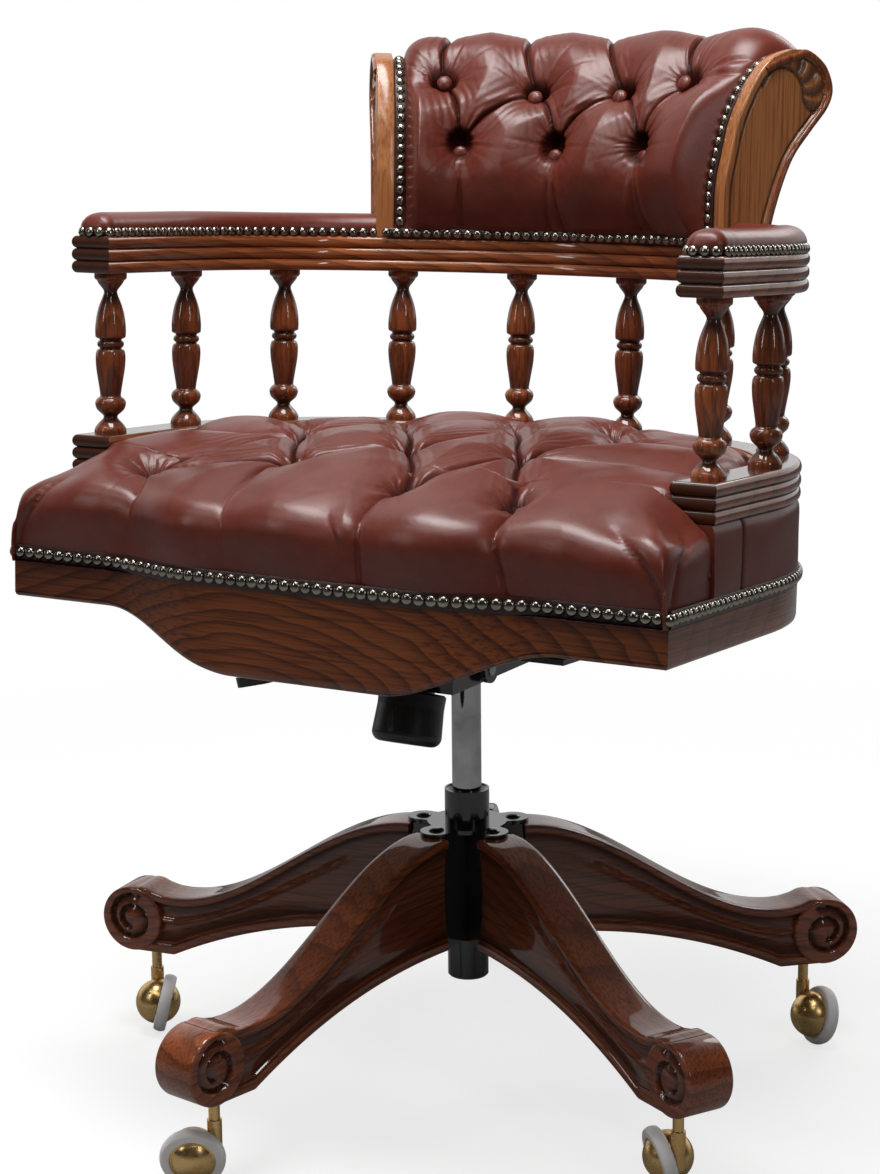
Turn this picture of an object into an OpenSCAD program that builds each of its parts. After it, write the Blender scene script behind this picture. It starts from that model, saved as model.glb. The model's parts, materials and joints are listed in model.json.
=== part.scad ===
// Captain's swivel desk chair: a deep buttoned seat and rolled back on a turned
// gallery, over a tilting and swivelling mechanism and a five leg scroll base.
// Millimetres. Z is up, the floor is z = 0, the column stands on x = y = 0 and
// the sitter faces -Y.

/* [Star base] */
// Turn of the star base about the column, seen from above
star_turn = 24.7; // [0:0.1:72]
// Distance from the column to the centre of a leg's scroll
scroll_reach = 357; // [340:1:380]
// Height of the centre of a leg's scroll above the floor
scroll_z = 116; // [112:1:122]
// Outer radius of a leg's scroll
scroll_r = 33; // [30:1:36]
// Thickness of a leg
leg_t = 43; // [36:1:48]
// Height of the legs' top where they meet the hub
leg_top_z = 248; // [235:1:255]
// Height of the legs' underside where they meet the hub
leg_root_z = 139.5; // [130:0.5:150]
// Distance from the column to a leg's inner end
leg_root_r = 52; // [48:1:60]
// Width of the raised moulding round a leg's side
leg_bead = 9; // [6:1:12]
// Depth of the sunk panel inside that moulding
leg_sink = 2.5; // [1:0.5:4]

/* [Hub] */
// Outer diameter of the hub's steel tube
hub_d = 42.5; // [41:0.5:48]
// Height of the top of the hub's tube
hub_top_z = 284; // [275:1:290]
// Outer diameter of the column tube that stands in the hub
column_d = 39; // [37:0.5:39.5]
// Height of the column tube's lower end
column_z = 98; // [90:1:110]
// Radius of the five lobed plate on top of the legs
plate_r = 60; // [56:1:66]
// Thickness of the lobed plate
plate_t = 4; // [3:0.5:6]
// Thickness of the tongues that hold the legs
tongue_t = 8; // [6:0.5:10]
// How far a tongue reaches into its leg
tongue_l = 36; // [25:1:45]

/* [Lift] */
// Diameter of the bright pressure tube
tube_d = 28; // [26:0.5:30]
// Height of the pressure tube's lower end, fully raised
tube_z = 200; // [192:1:206]
// Height of the pressure tube's upper end, fully raised
tube_top_z = 418; // [417:1:419]
// Diameter of the piston rod
rod_d = 10; // [8:0.5:12]
// Diameter of the valve pin
pin_d = 8; // [6:0.5:9]

/* [Mechanism] */
// Width of the mechanism's pressed housing
housing_w = 90; // [84:1:100]
// Thickness of the housing's walls
housing_wall = 3; // [2:0.5:4]
// Diameter of the tilt axle
axle_d = 12; // [10:1:14]
// Distance of the tilt axle in front of the column
axle_fwd = 48; // [44:1:52]
// Height of the tilt axle
axle_z = 415; // [413:1:417]
// Diameter of the tension knob
knob_d = 64; // [56:1:68]
// Length of the tension knob
knob_l = 48; // [42:1:50]
// Lean of the tension knob's axis from the vertical
knob_lean = 18; // [15:1:20]
// Diameter of the height lever's rod
lever_d = 8; // [6:0.5:10]
// Distance from the column to the tip of the height lever
lever_reach = 258; // [240:1:275]
// Drop of the lever's tip below its pivot
lever_drop = 52; // [45:1:60]

/* [Casters] */
// Diameter of a caster's ball
ball_d = 45; // [42:0.5:46]
// Diameter of a caster's tyre
tyre_d = 58; // [55:0.5:59]
// Width of a caster's tyre
tyre_w = 12; // [10:0.5:13]
// Lean of a caster's wheel from the vertical
wheel_lean = 14; // [10:1:16]
// Trail of a caster's ball behind its stem
trail = 19; // [17:0.5:20]
// Distance from the column to a caster's stem
stem_reach = 342; // [335:1:350]
// Diameter of a caster's stem
stem_d = 10; // [8:0.5:11]

/* [Seat] */
// Lean of the whole seat towards its back, at rest
rake = 3.3; // [0:0.1:5]
// Width of the seat over its wooden band
seat_w = 652; // [630:1:680]
// Distance from the column to the seat's front edge
seat_front = 260; // [250:1:275]
// Height of the band's lower edge along the sides
band_z = 472; // [470:1:478]
// Height of the band's upper edge
band_top_z = 505; // [502:1:510]
// Thickness of the wooden band
band_t = 22; // [18:1:26]
// Height of the front apron's lowest point
apron_z = 428; // [418:1:440]
// Forward bulge of the front apron's middle
apron_bulge = 26; // [10:1:32]
// Thickness of the seat's deck
deck_t = 14; // [10:1:16]
// Height of the seat cushion's crown above the band
crown_h = 124; // [116:1:130]
// Height of the cushion's rounded front edge above the band
edge_h = 66; // [60:1:72]
// Depth of the seat's tufts
seat_tuft = 20; // [10:1:28]

/* [Gallery] */
// Width of the reeded rails
rail_w = 42.4; // [38:0.2:46]
// Thickness of the reeded rails
rail_t = 34; // [30:0.5:38]
// Height of the padded border between the band and the lower rail
border_h = 74; // [70:1:78]
// Height of a turned spindle between the rails
spindle_h = 149.5; // [140:0.5:160]
// Largest diameter of a spindle
spindle_d = 30; // [25:0.5:31]
// Distance from the column to the rails' front ends
rail_front = 175; // [165:1:180]
// Radius of the rails' corner bends, on the centre line
bend_r = 230; // [222:1:238]
// Radius of the rails' back bend, on the centre line
back_r = 351; // [345:1:360]
// Height of the leather arm pads
pad_h = 23; // [16:1:28]

/* [Back] */
// Angle of each back wing from the middle, about the back bend's centre
wing_deg = 34.4; // [32:0.2:36]
// Thickness of a back wing
wing_t = 17.5; // [15:0.5:20]
// Height of the back over the upper rail
back_h = 179; // [170:1:190]
// Fullness of the buttoned back in front of its wings
back_full = 30; // [20:1:34]
// Depth of the back's tufts
back_tuft = 24; // [10:1:26]
// Diameter of a covered button
button_d = 15; // [12:1:18]

/* [Fits] */
// Radial clearance of a running fit
run = 0.05; // [0.02:0.01:0.1]
// Gap between pieces that move past each other
gap = 0.3; // [0.2:0.1:1]

/* [Hidden] */
$fn = 48;

wood = "#4a1f10";
wood_light = "#8a4a22";
hide = "#5c241c";
steel_black = "#101012";
steel_bright = "#b8babd";
brass = "#b08a48";
tyre_grey = "#d0cfd2";

// Angles of the legs, and of the casters' trails as the chair stands
leg_deg = [for (k = [0:4]) star_turn + 90 + 72 * k];
trail_deg = [30, 300, 210, 135, 320];

// Heights of the gallery, one piece upon the next, in the seat's own frame
rail_z = band_top_z + border_h;
spindle_z = rail_z + rail_t;
upper_z = spindle_z + spindle_h;
pad_z = upper_z + rail_t;
rake_z = 430;
plate_z = 441;
plate_thick = 5;

// Smooth step from 0 to 1, and a point on a Catmull-Rom curve through p
function ease(t) = let (u = min(1, max(0, t))) u * u * (3 - 2 * u);
function curve_at(p, t) = let (
    n = len(p) - 1,
    i = min(n - 1, floor(t * n)),
    u = t * n - i,
    a = p[max(0, i - 1)],
    b = p[i],
    c = p[i + 1],
    d = p[min(n, i + 2)])
    0.5 * (2 * b + (c - a) * u + (2 * a - 5 * b + 4 * c - d) * u * u
        + (3 * b - a - 3 * c + d) * u * u * u);
function curve(p, n) = [for (i = [0:n]) curve_at(p, i / n)];
function arc(cx, cy, r, a0, a1, n) =
    [for (i = [0:n]) let (a = a0 + (a1 - a0) * i / n) [cx + r * cos(a), cy + r * sin(a)]];
function reversed(p) = [for (i = [len(p) - 1:-1:0]) p[i]];

module raked() {
    translate([0, 0, rake_z]) rotate([-rake, 0, 0]) translate([0, 0, -rake_z]) children();
}

// Star legs: x runs outwards from the column, y upwards, in the leg's own plane
scroll = [scroll_reach, scroll_z];
toe_x = scroll_reach - 46;
sole_z = scroll_z - scroll_r;
neck_x = scroll_reach - 45;
neck_z = scroll_z + 27;
function leg_top(x) = let (t = (x - leg_root_r) / (neck_x - leg_root_r))
    neck_z + (leg_top_z - neck_z) * (1 + cos(180 * min(1, t))) / 2;
function leg_foot(x) = let (t = (x - leg_root_r) / (toe_x - leg_root_r))
    leg_root_z - (leg_root_z - sole_z) * pow(min(1, t), 2.2);
leg_top_pts = [for (i = [0:18]) let (x = leg_root_r + (neck_x - leg_root_r) * i / 18) [x, leg_top(x)]];
leg_foot_pts = [for (i = [0:12]) let (x = leg_root_r + (toe_x - leg_root_r) * i / 12) [x, leg_foot(x)]];
lip = [[scroll_reach - 24, scroll_z + 30], [scroll_reach - 10, scroll_z + scroll_r]];
sole = [[scroll_reach + 12, sole_z], [toe_x, sole_z]];
leg_outline = concat(leg_top_pts, lip, arc(scroll.x, scroll.y, scroll_r, 84, -62, 24),
    sole, reversed(leg_foot_pts));
leg_panel = concat(
    [for (i = [0:16]) let (x = leg_root_r + (neck_x - leg_root_r) * i / 16) [x - 1, leg_top(x) - leg_bead]],
    [[scroll_reach - 40, scroll_z + 16], [scroll_reach - 40, scroll_z - 18]],
    [for (i = [11:-1:0]) let (x = leg_root_r + (toe_x - leg_root_r) * i / 12) [x - 1, leg_foot(x) + leg_bead]]);

// One turn and a half of a volute, as a band that thins towards its eye
volute_turn = 560;
volute_steps = 44;
function volute(r, a) = [scroll.x + r * cos(a), scroll.y + r * sin(a)];
volute_r = scroll_r - 7;
volute_pts = concat(
    [for (i = [0:volute_steps]) let (t = i / volute_steps)
        volute(volute_r * (1 - 0.78 * t), 120 - volute_turn * t)],
    [for (i = [volute_steps:-1:0]) let (t = i / volute_steps)
        volute(volute_r * (1 - 0.78 * t) - 4 + 2 * t, 120 - volute_turn * t)]);
volute_h = 2;

module upright(t) {
    rotate([90, 0, 0]) translate([0, 0, -t / 2]) linear_extrude(t) children();
}
module star_leg(k) {
    face = leg_t / 2 - leg_sink;
    color(wood) rotate([0, 0, leg_deg[k]]) difference() {
        union() {
            upright(leg_t) polygon(leg_outline);
            for (s = [-1, 1]) translate([0, s * (leg_t / 2 + volute_h / 2 - 0.01), 0])
                upright(volute_h) polygon(volute_pts);
        }
        for (s = [-1, 1]) translate([0, s * (face + leg_sink), 0])
            upright(2 * leg_sink) polygon(leg_panel);
        translate([leg_root_r - 1, -tongue_t / 2 - run, tongue_z0 - run])
            cube([tongue_l + 1 + gap, tongue_t + 2 * run, tongue_h + 2 * run]);
        translate([stem_reach, 0, sole_z - 1]) cylinder(d = stem_d + 2 * run, h = stem_in + 1);
    }
}

// Hub: tube, five blocks against the legs' ends and a tongue into each leg
block_w = 30;
tongue_z0 = leg_root_z + 22;
tongue_h = leg_top_z - tongue_z0 - 24;
hub_z = leg_root_z - 12;
// Plan of a five armed star: arms of half width w that end at radius r
function turned(a, p) = [p.x * cos(a) - p.y * sin(a), p.x * sin(a) + p.y * cos(a)];
function star_plan(r, w) = [for (k = [0:4]) each
    [turned(leg_deg[k], [r, -w]), turned(leg_deg[k], [r, w]), turned(leg_deg[k], [w / tan(36), w])]];
module hub_star() {
    color(steel_black) difference() {
        union() {
            translate([0, 0, hub_z]) cylinder(d = hub_d, h = hub_top_z - hub_z);
            translate([0, 0, leg_root_z]) linear_extrude(leg_top_z - leg_root_z)
                polygon(star_plan(leg_root_r, block_w / 2));
            for (k = [0:4]) rotate([0, 0, leg_deg[k]])
                translate([leg_root_r - 4, -tongue_t / 2, tongue_z0]) cube([tongue_l + 4, tongue_t, tongue_h]);
        }
        translate([0, 0, hub_z - 1]) cylinder(d = column_d, h = hub_top_z - hub_z + 2);
        for (k = [0:4]) rotate([0, 0, leg_deg[k]])
            translate([screw_r, 0, leg_top_z - screw_l]) cylinder(d = screw_d, h = screw_l + 1);
    }
}
screw_r = plate_r - 15;
screw_d = 6;
screw_l = 18;
head_d = 15;
module hub_plate() {
    color(steel_black) translate([0, 0, leg_top_z]) linear_extrude(plate_t) difference() {
        union() {
            circle(r = plate_r - 22);
            polygon(star_plan(screw_r, plate_r - screw_r - 0.8));
            for (k = [0:4]) rotate(leg_deg[k]) translate([screw_r, 0]) circle(r = plate_r - screw_r);
        }
        circle(d = hub_d);
        for (k = [0:4]) rotate(leg_deg[k]) translate([screw_r, 0]) circle(d = screw_d);
    }
}
// A screw pointing down, its head's seat at z = 0
module screw(d, l, hd) {
    rotate_extrude() polygon(concat([[0, -l], [d / 2, -l], [d / 2, 0], [hd / 2, 0]],
        arc(0, 0, hd / 2, 8, 90, 6) * [[1, 0], [0, 0.4]]));
}
module hub_screws() {
    color(steel_black) for (k = [0:4]) rotate([0, 0, leg_deg[k]])
        translate([screw_r, 0, leg_top_z + plate_t]) screw(screw_d, screw_l + plate_t - 1, head_d);
}

// Column: tube with its floor, guide bush at the top, thrust bearing on the floor
column_wall = 2;
column_floor = 4;
bush_l = 60;
bearing_h = 6;
column_top = hub_top_z - 1;
module column_tube() {
    ro = column_d / 2;
    ri = ro - column_wall;
    color(steel_black) translate([0, 0, column_z]) rotate_extrude() polygon([
        [rod_d / 2 + run, 0], [ro - 1.5, 0], [ro, 1.5], [ro, column_top - column_z],
        [ri, column_top - column_z], [ri, column_floor], [rod_d / 2 + run, column_floor]]);
}
module guide_bush() {
    color("#202020") translate([0, 0, column_top - bush_l]) difference() {
        cylinder(d = column_d - 2 * column_wall, h = bush_l);
        translate([0, 0, -1]) cylinder(d = tube_d + 2 * run, h = bush_l + 2);
    }
}
module thrust_bearing() {
    color(steel_bright) translate([0, 0, column_z + column_floor]) difference() {
        cylinder(d = column_d - 2 * column_wall - 4, h = bearing_h - gap);
        translate([0, 0, -1]) cylinder(d = rod_d + 2 * run, h = bearing_h + 2);
    }
}

// Lift: the rod stands on the bearing, the pressure tube slides on its piston
piston_z = tube_z + 12;
piston_h = 12;
tube_wall = 1.5;
seal_h = 8;
pin_top = tube_top_z + 5.7;
module piston_rod() {
    rest = column_z + column_floor + bearing_h;
    color(steel_bright) rotate_extrude() polygon([
        [0, column_z + 1], [rod_d / 2, column_z + 1], [rod_d / 2, rest], [rod_d / 2 + 5, rest],
        [rod_d / 2 + 5, rest + 4], [rod_d / 2, rest + 4], [rod_d / 2, piston_z],
        [tube_d / 2 - tube_wall - run, piston_z], [tube_d / 2 - tube_wall - run, piston_z + piston_h],
        [0, piston_z + piston_h]]);
}
module pressure_tube() {
    ro = tube_d / 2;
    ri = ro - tube_wall;
    rr = rod_d / 2 + run;
    rp = pin_d / 2 + run;
    color(steel_bright) rotate_extrude() polygon([
        [rr, tube_z], [ro - 1, tube_z], [ro, tube_z + 1], [ro, tube_top_z], [rp, tube_top_z],
        [rp, tube_top_z - 10], [ri, tube_top_z - 10], [ri, tube_z + seal_h], [rr, tube_z + seal_h]]);
}
module valve_pin() {
    color(steel_bright) translate([0, 0, tube_top_z - 16]) cylinder(d = pin_d, h = pin_top - tube_top_z + 16);
}

// Mechanism: pressed housing round the tube's top, with a leaning spring barrel
housing_top = [[-105, 428], [-78, 432], [-24, 430], [20, 421], [52, 412]];
housing_floor = 402;
socket_d = tube_d + 10;
barrel_d = 40;
barrel_l = 34;
spring_room = 30;
knob_at = [0, -99, 399];
lever_at = [-housing_w / 2 - 6, 0, 410];
module on_knob_axis() {
    translate(knob_at) rotate([-knob_lean, 0, 0]) children();
}
module mech_housing() {
    half = housing_w / 2;
    front = housing_top[0].x;
    rear = housing_top[len(housing_top) - 1].x;
    side = concat([[front, housing_floor], [rear, housing_floor]], reversed(housing_top));
    inner = [[front + housing_wall, housing_floor + housing_wall], [rear + 8, housing_floor + housing_wall],
        [rear + 8, plate_z], [front + housing_wall, plate_z]];
    color(steel_black) difference() {
        union() {
            difference() {
                rotate([90, 0, 90]) translate([0, 0, -half]) linear_extrude(housing_w) polygon(side);
                rotate([90, 0, 90]) translate([0, 0, housing_wall - half])
                    linear_extrude(housing_w - 2 * housing_wall) polygon(inner);
            }
            translate([0, 0, housing_floor]) cylinder(d = socket_d, h = tube_top_z - housing_floor);
            on_knob_axis() translate([0, 0, -barrel_l]) cylinder(d = barrel_d, h = barrel_l + 16);
            for (s = [-1, 1]) translate([lever_at.x - 5, s * 9 - 2.5, housing_floor])
                cube([6 + 5.5, 5, 14]);
        }
        translate([0, 0, housing_floor - 1]) cylinder(d = tube_d, h = 40);
        on_knob_axis() translate([0, 0, -barrel_l + 4]) cylinder(d = spring_room, h = barrel_l + 40);
        on_knob_axis() translate([0, 0, -barrel_l - 1]) cylinder(d = bolt_d + 2 * run, h = 20);
        translate([-half - 1, -axle_fwd, axle_z]) rotate([0, 90, 0]) cylinder(d = axle_d, h = housing_w + 2);
        translate([lever_at.x, -20, lever_at.z]) rotate([-90, 0, 0])
            cylinder(d = lever_pin_d + 2 * run, h = 40);
        translate([-half - 1, -6.4, housing_floor + 2.2]) cube([housing_wall + 2, 12.8, 40]);
    }
}
cheek_t = 5;
cheek_gap = 4;
axle_l = housing_w + 2 * (cheek_gap + cheek_t) + 2;
module tilt_axle() {
    color(steel_bright) translate([-axle_l / 2, -axle_fwd, axle_z]) rotate([0, 90, 0])
        cylinder(d = axle_d, h = axle_l);
}
// Tension spring: a round wire wound with a steady pitch inside the barrel
bolt_d = 10;
spring_d = 22;
spring_wire = 3.4;
spring_turns = 5;
spring_len = 26;
spring_seg = 14;
module tension_spring() {
    n = spring_turns * spring_seg;
    ring = [for (j = [0:5]) spring_wire / 2 * [cos(60 * j + 30), sin(60 * j + 30)]];
    pts = [for (i = [0:n]) let (a = 360 * i / spring_seg, z = spring_len * i / n) for (q = ring)
        [(spring_d / 2 + q.x) * cos(a), (spring_d / 2 + q.x) * sin(a), z + q.y]];
    ends = [for (j = [1:4]) each [[0, j + 1, j], 6 * n * [1, 1, 1] + [0, j, j + 1]]];
    color(steel_bright) on_knob_axis() translate([0, 0, -barrel_l + 4 + spring_wire / 2])
        polyhedron(pts, concat(ring_sides(n + 1, 6), ends));
}
knob_gap = 4;
module tension_knob() {
    r = knob_d / 2;
    cup = barrel_d / 2 + knob_gap;
    color("#141416") on_knob_axis() rotate_extrude() polygon(concat(
        [[0, -knob_l]], arc(r - 9, -knob_l + 9, 9, -90, 0, 6), [[r - 1.5, -14]], [[r - 1, -2], [r - 3, 0], [cup, 0]],
        [[cup, -barrel_l - knob_gap], [bolt_d / 2, -barrel_l - knob_gap], [bolt_d / 2, 4], [0, 4]]));
}
lever_pin_d = 6;
lever_slope = atan2(lever_drop, lever_reach + lever_at.x);
paddle_l = 46;
module lever_rod() {
    rod = (lever_reach + lever_at.x - paddle_l + 12) / cos(lever_slope);
    color(steel_bright) translate(lever_at) {
        rotate([0, -90 - lever_slope, 0]) cylinder(d = lever_d, h = rod);
        rotate([90, 0, 0]) cylinder(d = lever_pin_d, h = 23, center = true);
        sphere(d = 12);
        rotate([0, 55, 0]) cylinder(d = lever_d, h = 18);
        translate([0, -4, finger_z - lever_at.z]) cube([-lever_at.x + pin_d / 2, 8, 4]);
        translate([6, -4, 4]) cube([8, 8, finger_z - lever_at.z - 2]);
    }
}
finger_z = pin_top + gap;
module lever_paddle() {
    tip = lever_reach + lever_at.x;
    color("#1a1a1c") translate(lever_at) rotate([0, -lever_slope, 0])
        translate([-tip / cos(lever_slope), 0, 0]) difference() {
            union() {
                translate([11, 0, -5]) cylinder(d = 22, h = 10);
                translate([11, -11, -5]) cube([paddle_l - 22, 22, 10]);
                translate([paddle_l - 11, 0, -5]) cylinder(d = 22, h = 10);
            }
            translate([paddle_l - 14, 0, 0]) rotate([0, 90, 0]) cylinder(d = lever_d, h = 40);
        }
}

// Casters: half a ball on the stem, the other half turns with the tyre.
// In the wheel's frame z is the wheel's own axis, pointing away from the stem's side.
tyre_in = ball_d / 2 - 2;
tyre_edge = 1.5;
wheel_gap = 1;
axle_pin_d = 5;
axle_in = 15;
side_shift = 2;
boss_d = 13;
stem_in = 34;
split = 0.4;
// Tyre section in [radius, offset], and how far it reaches below the ball's centre
tyre_pts = concat([[tyre_in, wheel_gap]], [[tyre_d / 2 - tyre_edge - 1, wheel_gap]],
    [for (i = [-4:4]) [tyre_d / 2 - tyre_edge * i * i / 16, wheel_gap + tyre_w / 2 + i / 4 * (tyre_w / 2 - 0.6)]],
    [[tyre_d / 2 - tyre_edge - 1, wheel_gap + tyre_w], [tyre_in, wheel_gap + tyre_w]]);
ball_z = max([for (p = tyre_pts) p.x * cos(wheel_lean) + p.y * sin(wheel_lean)]);
ball_at = [trail, side_shift, ball_z];
module at_caster(k) {
    rotate([0, 0, leg_deg[k]]) translate([stem_reach, 0, 0]) rotate([0, 0, trail_deg[k] - leg_deg[k]])
        children();
}
module on_wheel_axis() {
    translate(ball_at) rotate([-90 - wheel_lean, 0, 0]) children();
}
module caster_hood(k) {
    boss_top = ball_z + ball_d / 2 + 8;
    color(brass) at_caster(k) {
        difference() {
            union() {
                translate(ball_at) sphere(d = ball_d);
                translate([0, 0, ball_z - 4]) cylinder(d = boss_d, h = boss_top - ball_z + 4);
            }
            on_wheel_axis() translate([0, 0, split]) cylinder(d = 3 * ball_d, h = 2 * ball_d);
        }
        on_wheel_axis() translate([0, 0, -10]) cylinder(d = axle_pin_d, h = axle_in + 10);
        translate([0, 0, boss_top - 2]) cylinder(d = stem_d, h = sole_z + stem_in - 4 - boss_top);
        translate([0, 0, sole_z - gap - 3]) cylinder(d = stem_d + 8, h = 3);
    }
}
module wheel_core(k) {
    face = wheel_gap + tyre_w;
    rim = sqrt(pow(ball_d / 2, 2) - pow(face, 2));
    a0 = asin(face / (ball_d / 2));
    color(brass) at_caster(k) on_wheel_axis() rotate_extrude() polygon(concat(
        [[axle_pin_d / 2 + run, wheel_gap], [tyre_in, wheel_gap], [tyre_in, face - 1], [rim, face]],
        arc(0, 0, ball_d / 2, a0 + 6, 90, 10),
        [[0, axle_in + 1], [axle_pin_d / 2 + run, axle_in + 1]]));
}
module wheel_tyre(k) {
    color(tyre_grey) at_caster(k) on_wheel_axis() rotate_extrude() polygon(tyre_pts);
}

// Plan of the gallery: two straight sides, two corner bends and a back bend
side_x = (seat_w - rail_w) / 2;
bend_x = side_x - bend_r;
bend_y = -40;
bend_deg = acos(bend_x / (back_r - bend_r));
back_y = bend_y - (back_r - bend_r) * sin(bend_deg);
// A point of the plan at distance off outside the centre line, by angle from +X
function on_bend(a, off) = [bend_x + (bend_r + off) * cos(a), bend_y + (bend_r + off) * sin(a)];
function on_back(a, off) = [(back_r + off) * cos(a), back_y + (back_r + off) * sin(a)];
function plan_half(off, front) = concat([[side_x + off, -front]],
    [for (i = [0:8]) on_bend(bend_deg * i / 8, off)],
    [for (i = [1:6]) on_back(bend_deg + (90 - bend_deg) * i / 6, off)]);
function mirrored(p) = [for (q = p) [-q.x, q.y]];
// Lengths along the centre line from the middle of the back, and a point at length s
back_len = (90 - bend_deg) * PI / 180 * back_r;
bend_len = bend_deg * PI / 180 * bend_r;
function on_plan(s, off) =
    s < back_len ? on_back(90 - s / back_r * 180 / PI, off) :
    s < back_len + bend_len ? on_bend(bend_deg - (s - back_len) / bend_r * 180 / PI, off) :
    [side_x + off, bend_y - (s - back_len - bend_len)];

module both_sides() {
    for (s = [0, 1]) mirror([s, 0, 0]) children();
}
// Sweeps a section round the plan: section x is the offset outwards, y is height
module bow(front) {
    both_sides() {
        translate([side_x, bend_y, 0]) rotate([90, 0, 0]) linear_extrude(front + bend_y) children();
        translate([bend_x, bend_y, 0]) rotate_extrude(angle = bend_deg) translate([bend_r, 0]) children();
    }
    back_bend(90 - bend_deg) children();
}
// The same round the back bend only, to an angle each side of the middle
module back_bend(half) {
    translate([0, back_y, 0]) rotate([0, 0, 90 - half]) rotate_extrude(angle = 2 * half)
        translate([back_r, 0]) children();
}

// Soft forms: rings of points joined by triangles, each ring a closed loop
function ring_sides(n, m) = [for (i = [0:n - 2]) for (j = [0:m - 1])
    let (a = i * m + j, b = i * m + (j + 1) % m) each [[a, b, a + m], [b, b + m, a + m]]];

// Seat plate and its two cheeks, on the tilt axle
axle_seat = [-axle_fwd * cos(rake) - (axle_z - rake_z) * sin(rake),
    rake_z - axle_fwd * sin(rake) + (axle_z - rake_z) * cos(rake)];
cheek_x = housing_w / 2 + cheek_gap;
pad_x = 150;
pad_y = [-105, 75];
plate_screw_d = 7;
module seat_plate() {
    color(steel_black) raked() difference() {
        union() {
            translate([0, 0, plate_z]) linear_extrude(plate_thick) union() {
                translate([-62, -118]) square([124, 178]);
                both_sides() {
                    polygon([[40, -118], [pad_x, -124], [pad_x, -86], [40, -62]]);
                    polygon([[40, 60], [40, 20], [pad_x, 58], [pad_x, 92]]);
                    translate([pad_x - 21, pad_y[0] - 30]) square([42, 60]);
                    translate([pad_x - 21, pad_y[1] - 20]) square([42, 40]);
                }
            }
            both_sides() translate([cheek_x, 0, 0]) rotate([90, 0, 90]) linear_extrude(cheek_t) union() {
                translate(axle_seat) circle(r = 13);
                polygon([[axle_seat.x - 12.9, axle_seat.y], [axle_seat.x + 12.9, axle_seat.y],
                    [axle_seat.x + 28, plate_z + 1], [axle_seat.x - 34, plate_z + 1]]);
            }
        }
        translate([-axle_l, axle_seat.x, axle_seat.y]) rotate([0, 90, 0])
            cylinder(d = axle_d + 2 * run, h = 2 * axle_l);
        at_plate_screws() cylinder(d = plate_screw_d, h = 40, center = true);
    }
}
module at_plate_screws() {
    both_sides() for (y = pad_y) for (dx = [-12, 12])
        translate([pad_x + dx, y, plate_z]) children();
}
module plate_screws() {
    color(steel_black) raked() at_plate_screws() mirror([0, 0, 1])
        screw(plate_screw_d, batten_in, 13);
}
batten_in = 24;
batten_w = 38;
batten_x = seat_w / 2 - 148;
module seat_battens() {
    z0 = plate_z + plate_thick;
    z1 = band_top_z - deck_t;
    color(wood) raked() difference() {
        intersection() {
            for (y = pad_y) translate([0, y + batten_w / 2, 0]) rotate([90, 0, 0]) linear_extrude(batten_w)
                polygon([[-seat_w / 2, z1], [-seat_w / 2, band_z], [-batten_x - 37, band_z], [-batten_x, z0],
                    [batten_x, z0], [batten_x + 37, band_z], [seat_w / 2, band_z], [seat_w / 2, z1]]);
            translate([0, 0, z0 - 1]) linear_extrude(z1 - z0 + 2) polygon(deck_plan);
        }
        at_plate_screws() cylinder(d = plate_screw_d, h = 2 * batten_in + 4, center = true);
    }
}

// Wooden band: a bowed front apron, and the sides and back in one
band_off = rail_w / 2;
band_in = band_off - band_t;
function bulge(x) = apron_bulge * (1 - ease((abs(x) - 105) / 120));
function apron_y(x) = -seat_front - bulge(x);
function apron_low(x) = band_z - (band_z - apron_z) * (1 - ease((abs(x) - 75) / 152));
apron_xs = [for (i = [-22:22]) seat_w / 2 * i / 22];
deck_plan = concat(
    [for (x = reversed(apron_xs)) if (abs(x) < side_x + band_in - 2) [x, apron_y(x) + band_t]],
    mirrored(plan_half(band_in, seat_front - band_t)),
    reversed(plan_half(band_in, seat_front - band_t)));
module apron_front() {
    top = [for (x = apron_xs) [x, apron_y(x)]];
    back = [for (x = reversed(apron_xs)) [x, apron_y(x) + band_t]];
    low = [for (x = apron_xs) [x, apron_low(x)]];
    color(wood) raked() intersection() {
        translate([0, 0, apron_z - 5]) linear_extrude(band_top_z - apron_z + 10) polygon(concat(top, back));
        translate([0, -seat_front / 2, 0]) rotate([90, 0, 0]) linear_extrude(seat_front)
            polygon(concat(low, [[seat_w / 2, band_top_z], [-seat_w / 2, band_top_z]]));
    }
}
module seat_band() {
    color(wood) raked() bow(seat_front - band_t)
        translate([band_in, band_z]) square([band_t, band_top_z - band_z]);
}
module seat_deck() {
    color("#a98452") raked() translate([0, 0, band_top_z - deck_t]) linear_extrude(deck_t) polygon(deck_plan);
}
border_in = -rail_w / 2;
module seat_border() {
    o = rail_w / 2;
    color(hide) raked() bow(rail_front) polygon([[border_in, band_top_z], [o - 3, band_top_z],
        [o - 1.2, band_top_z + 14], [o - 0.6, (band_top_z + rail_z) / 2], [o - 1.5, rail_z - 14],
        [o - 4, rail_z], [border_in, rail_z]]);
}

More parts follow.
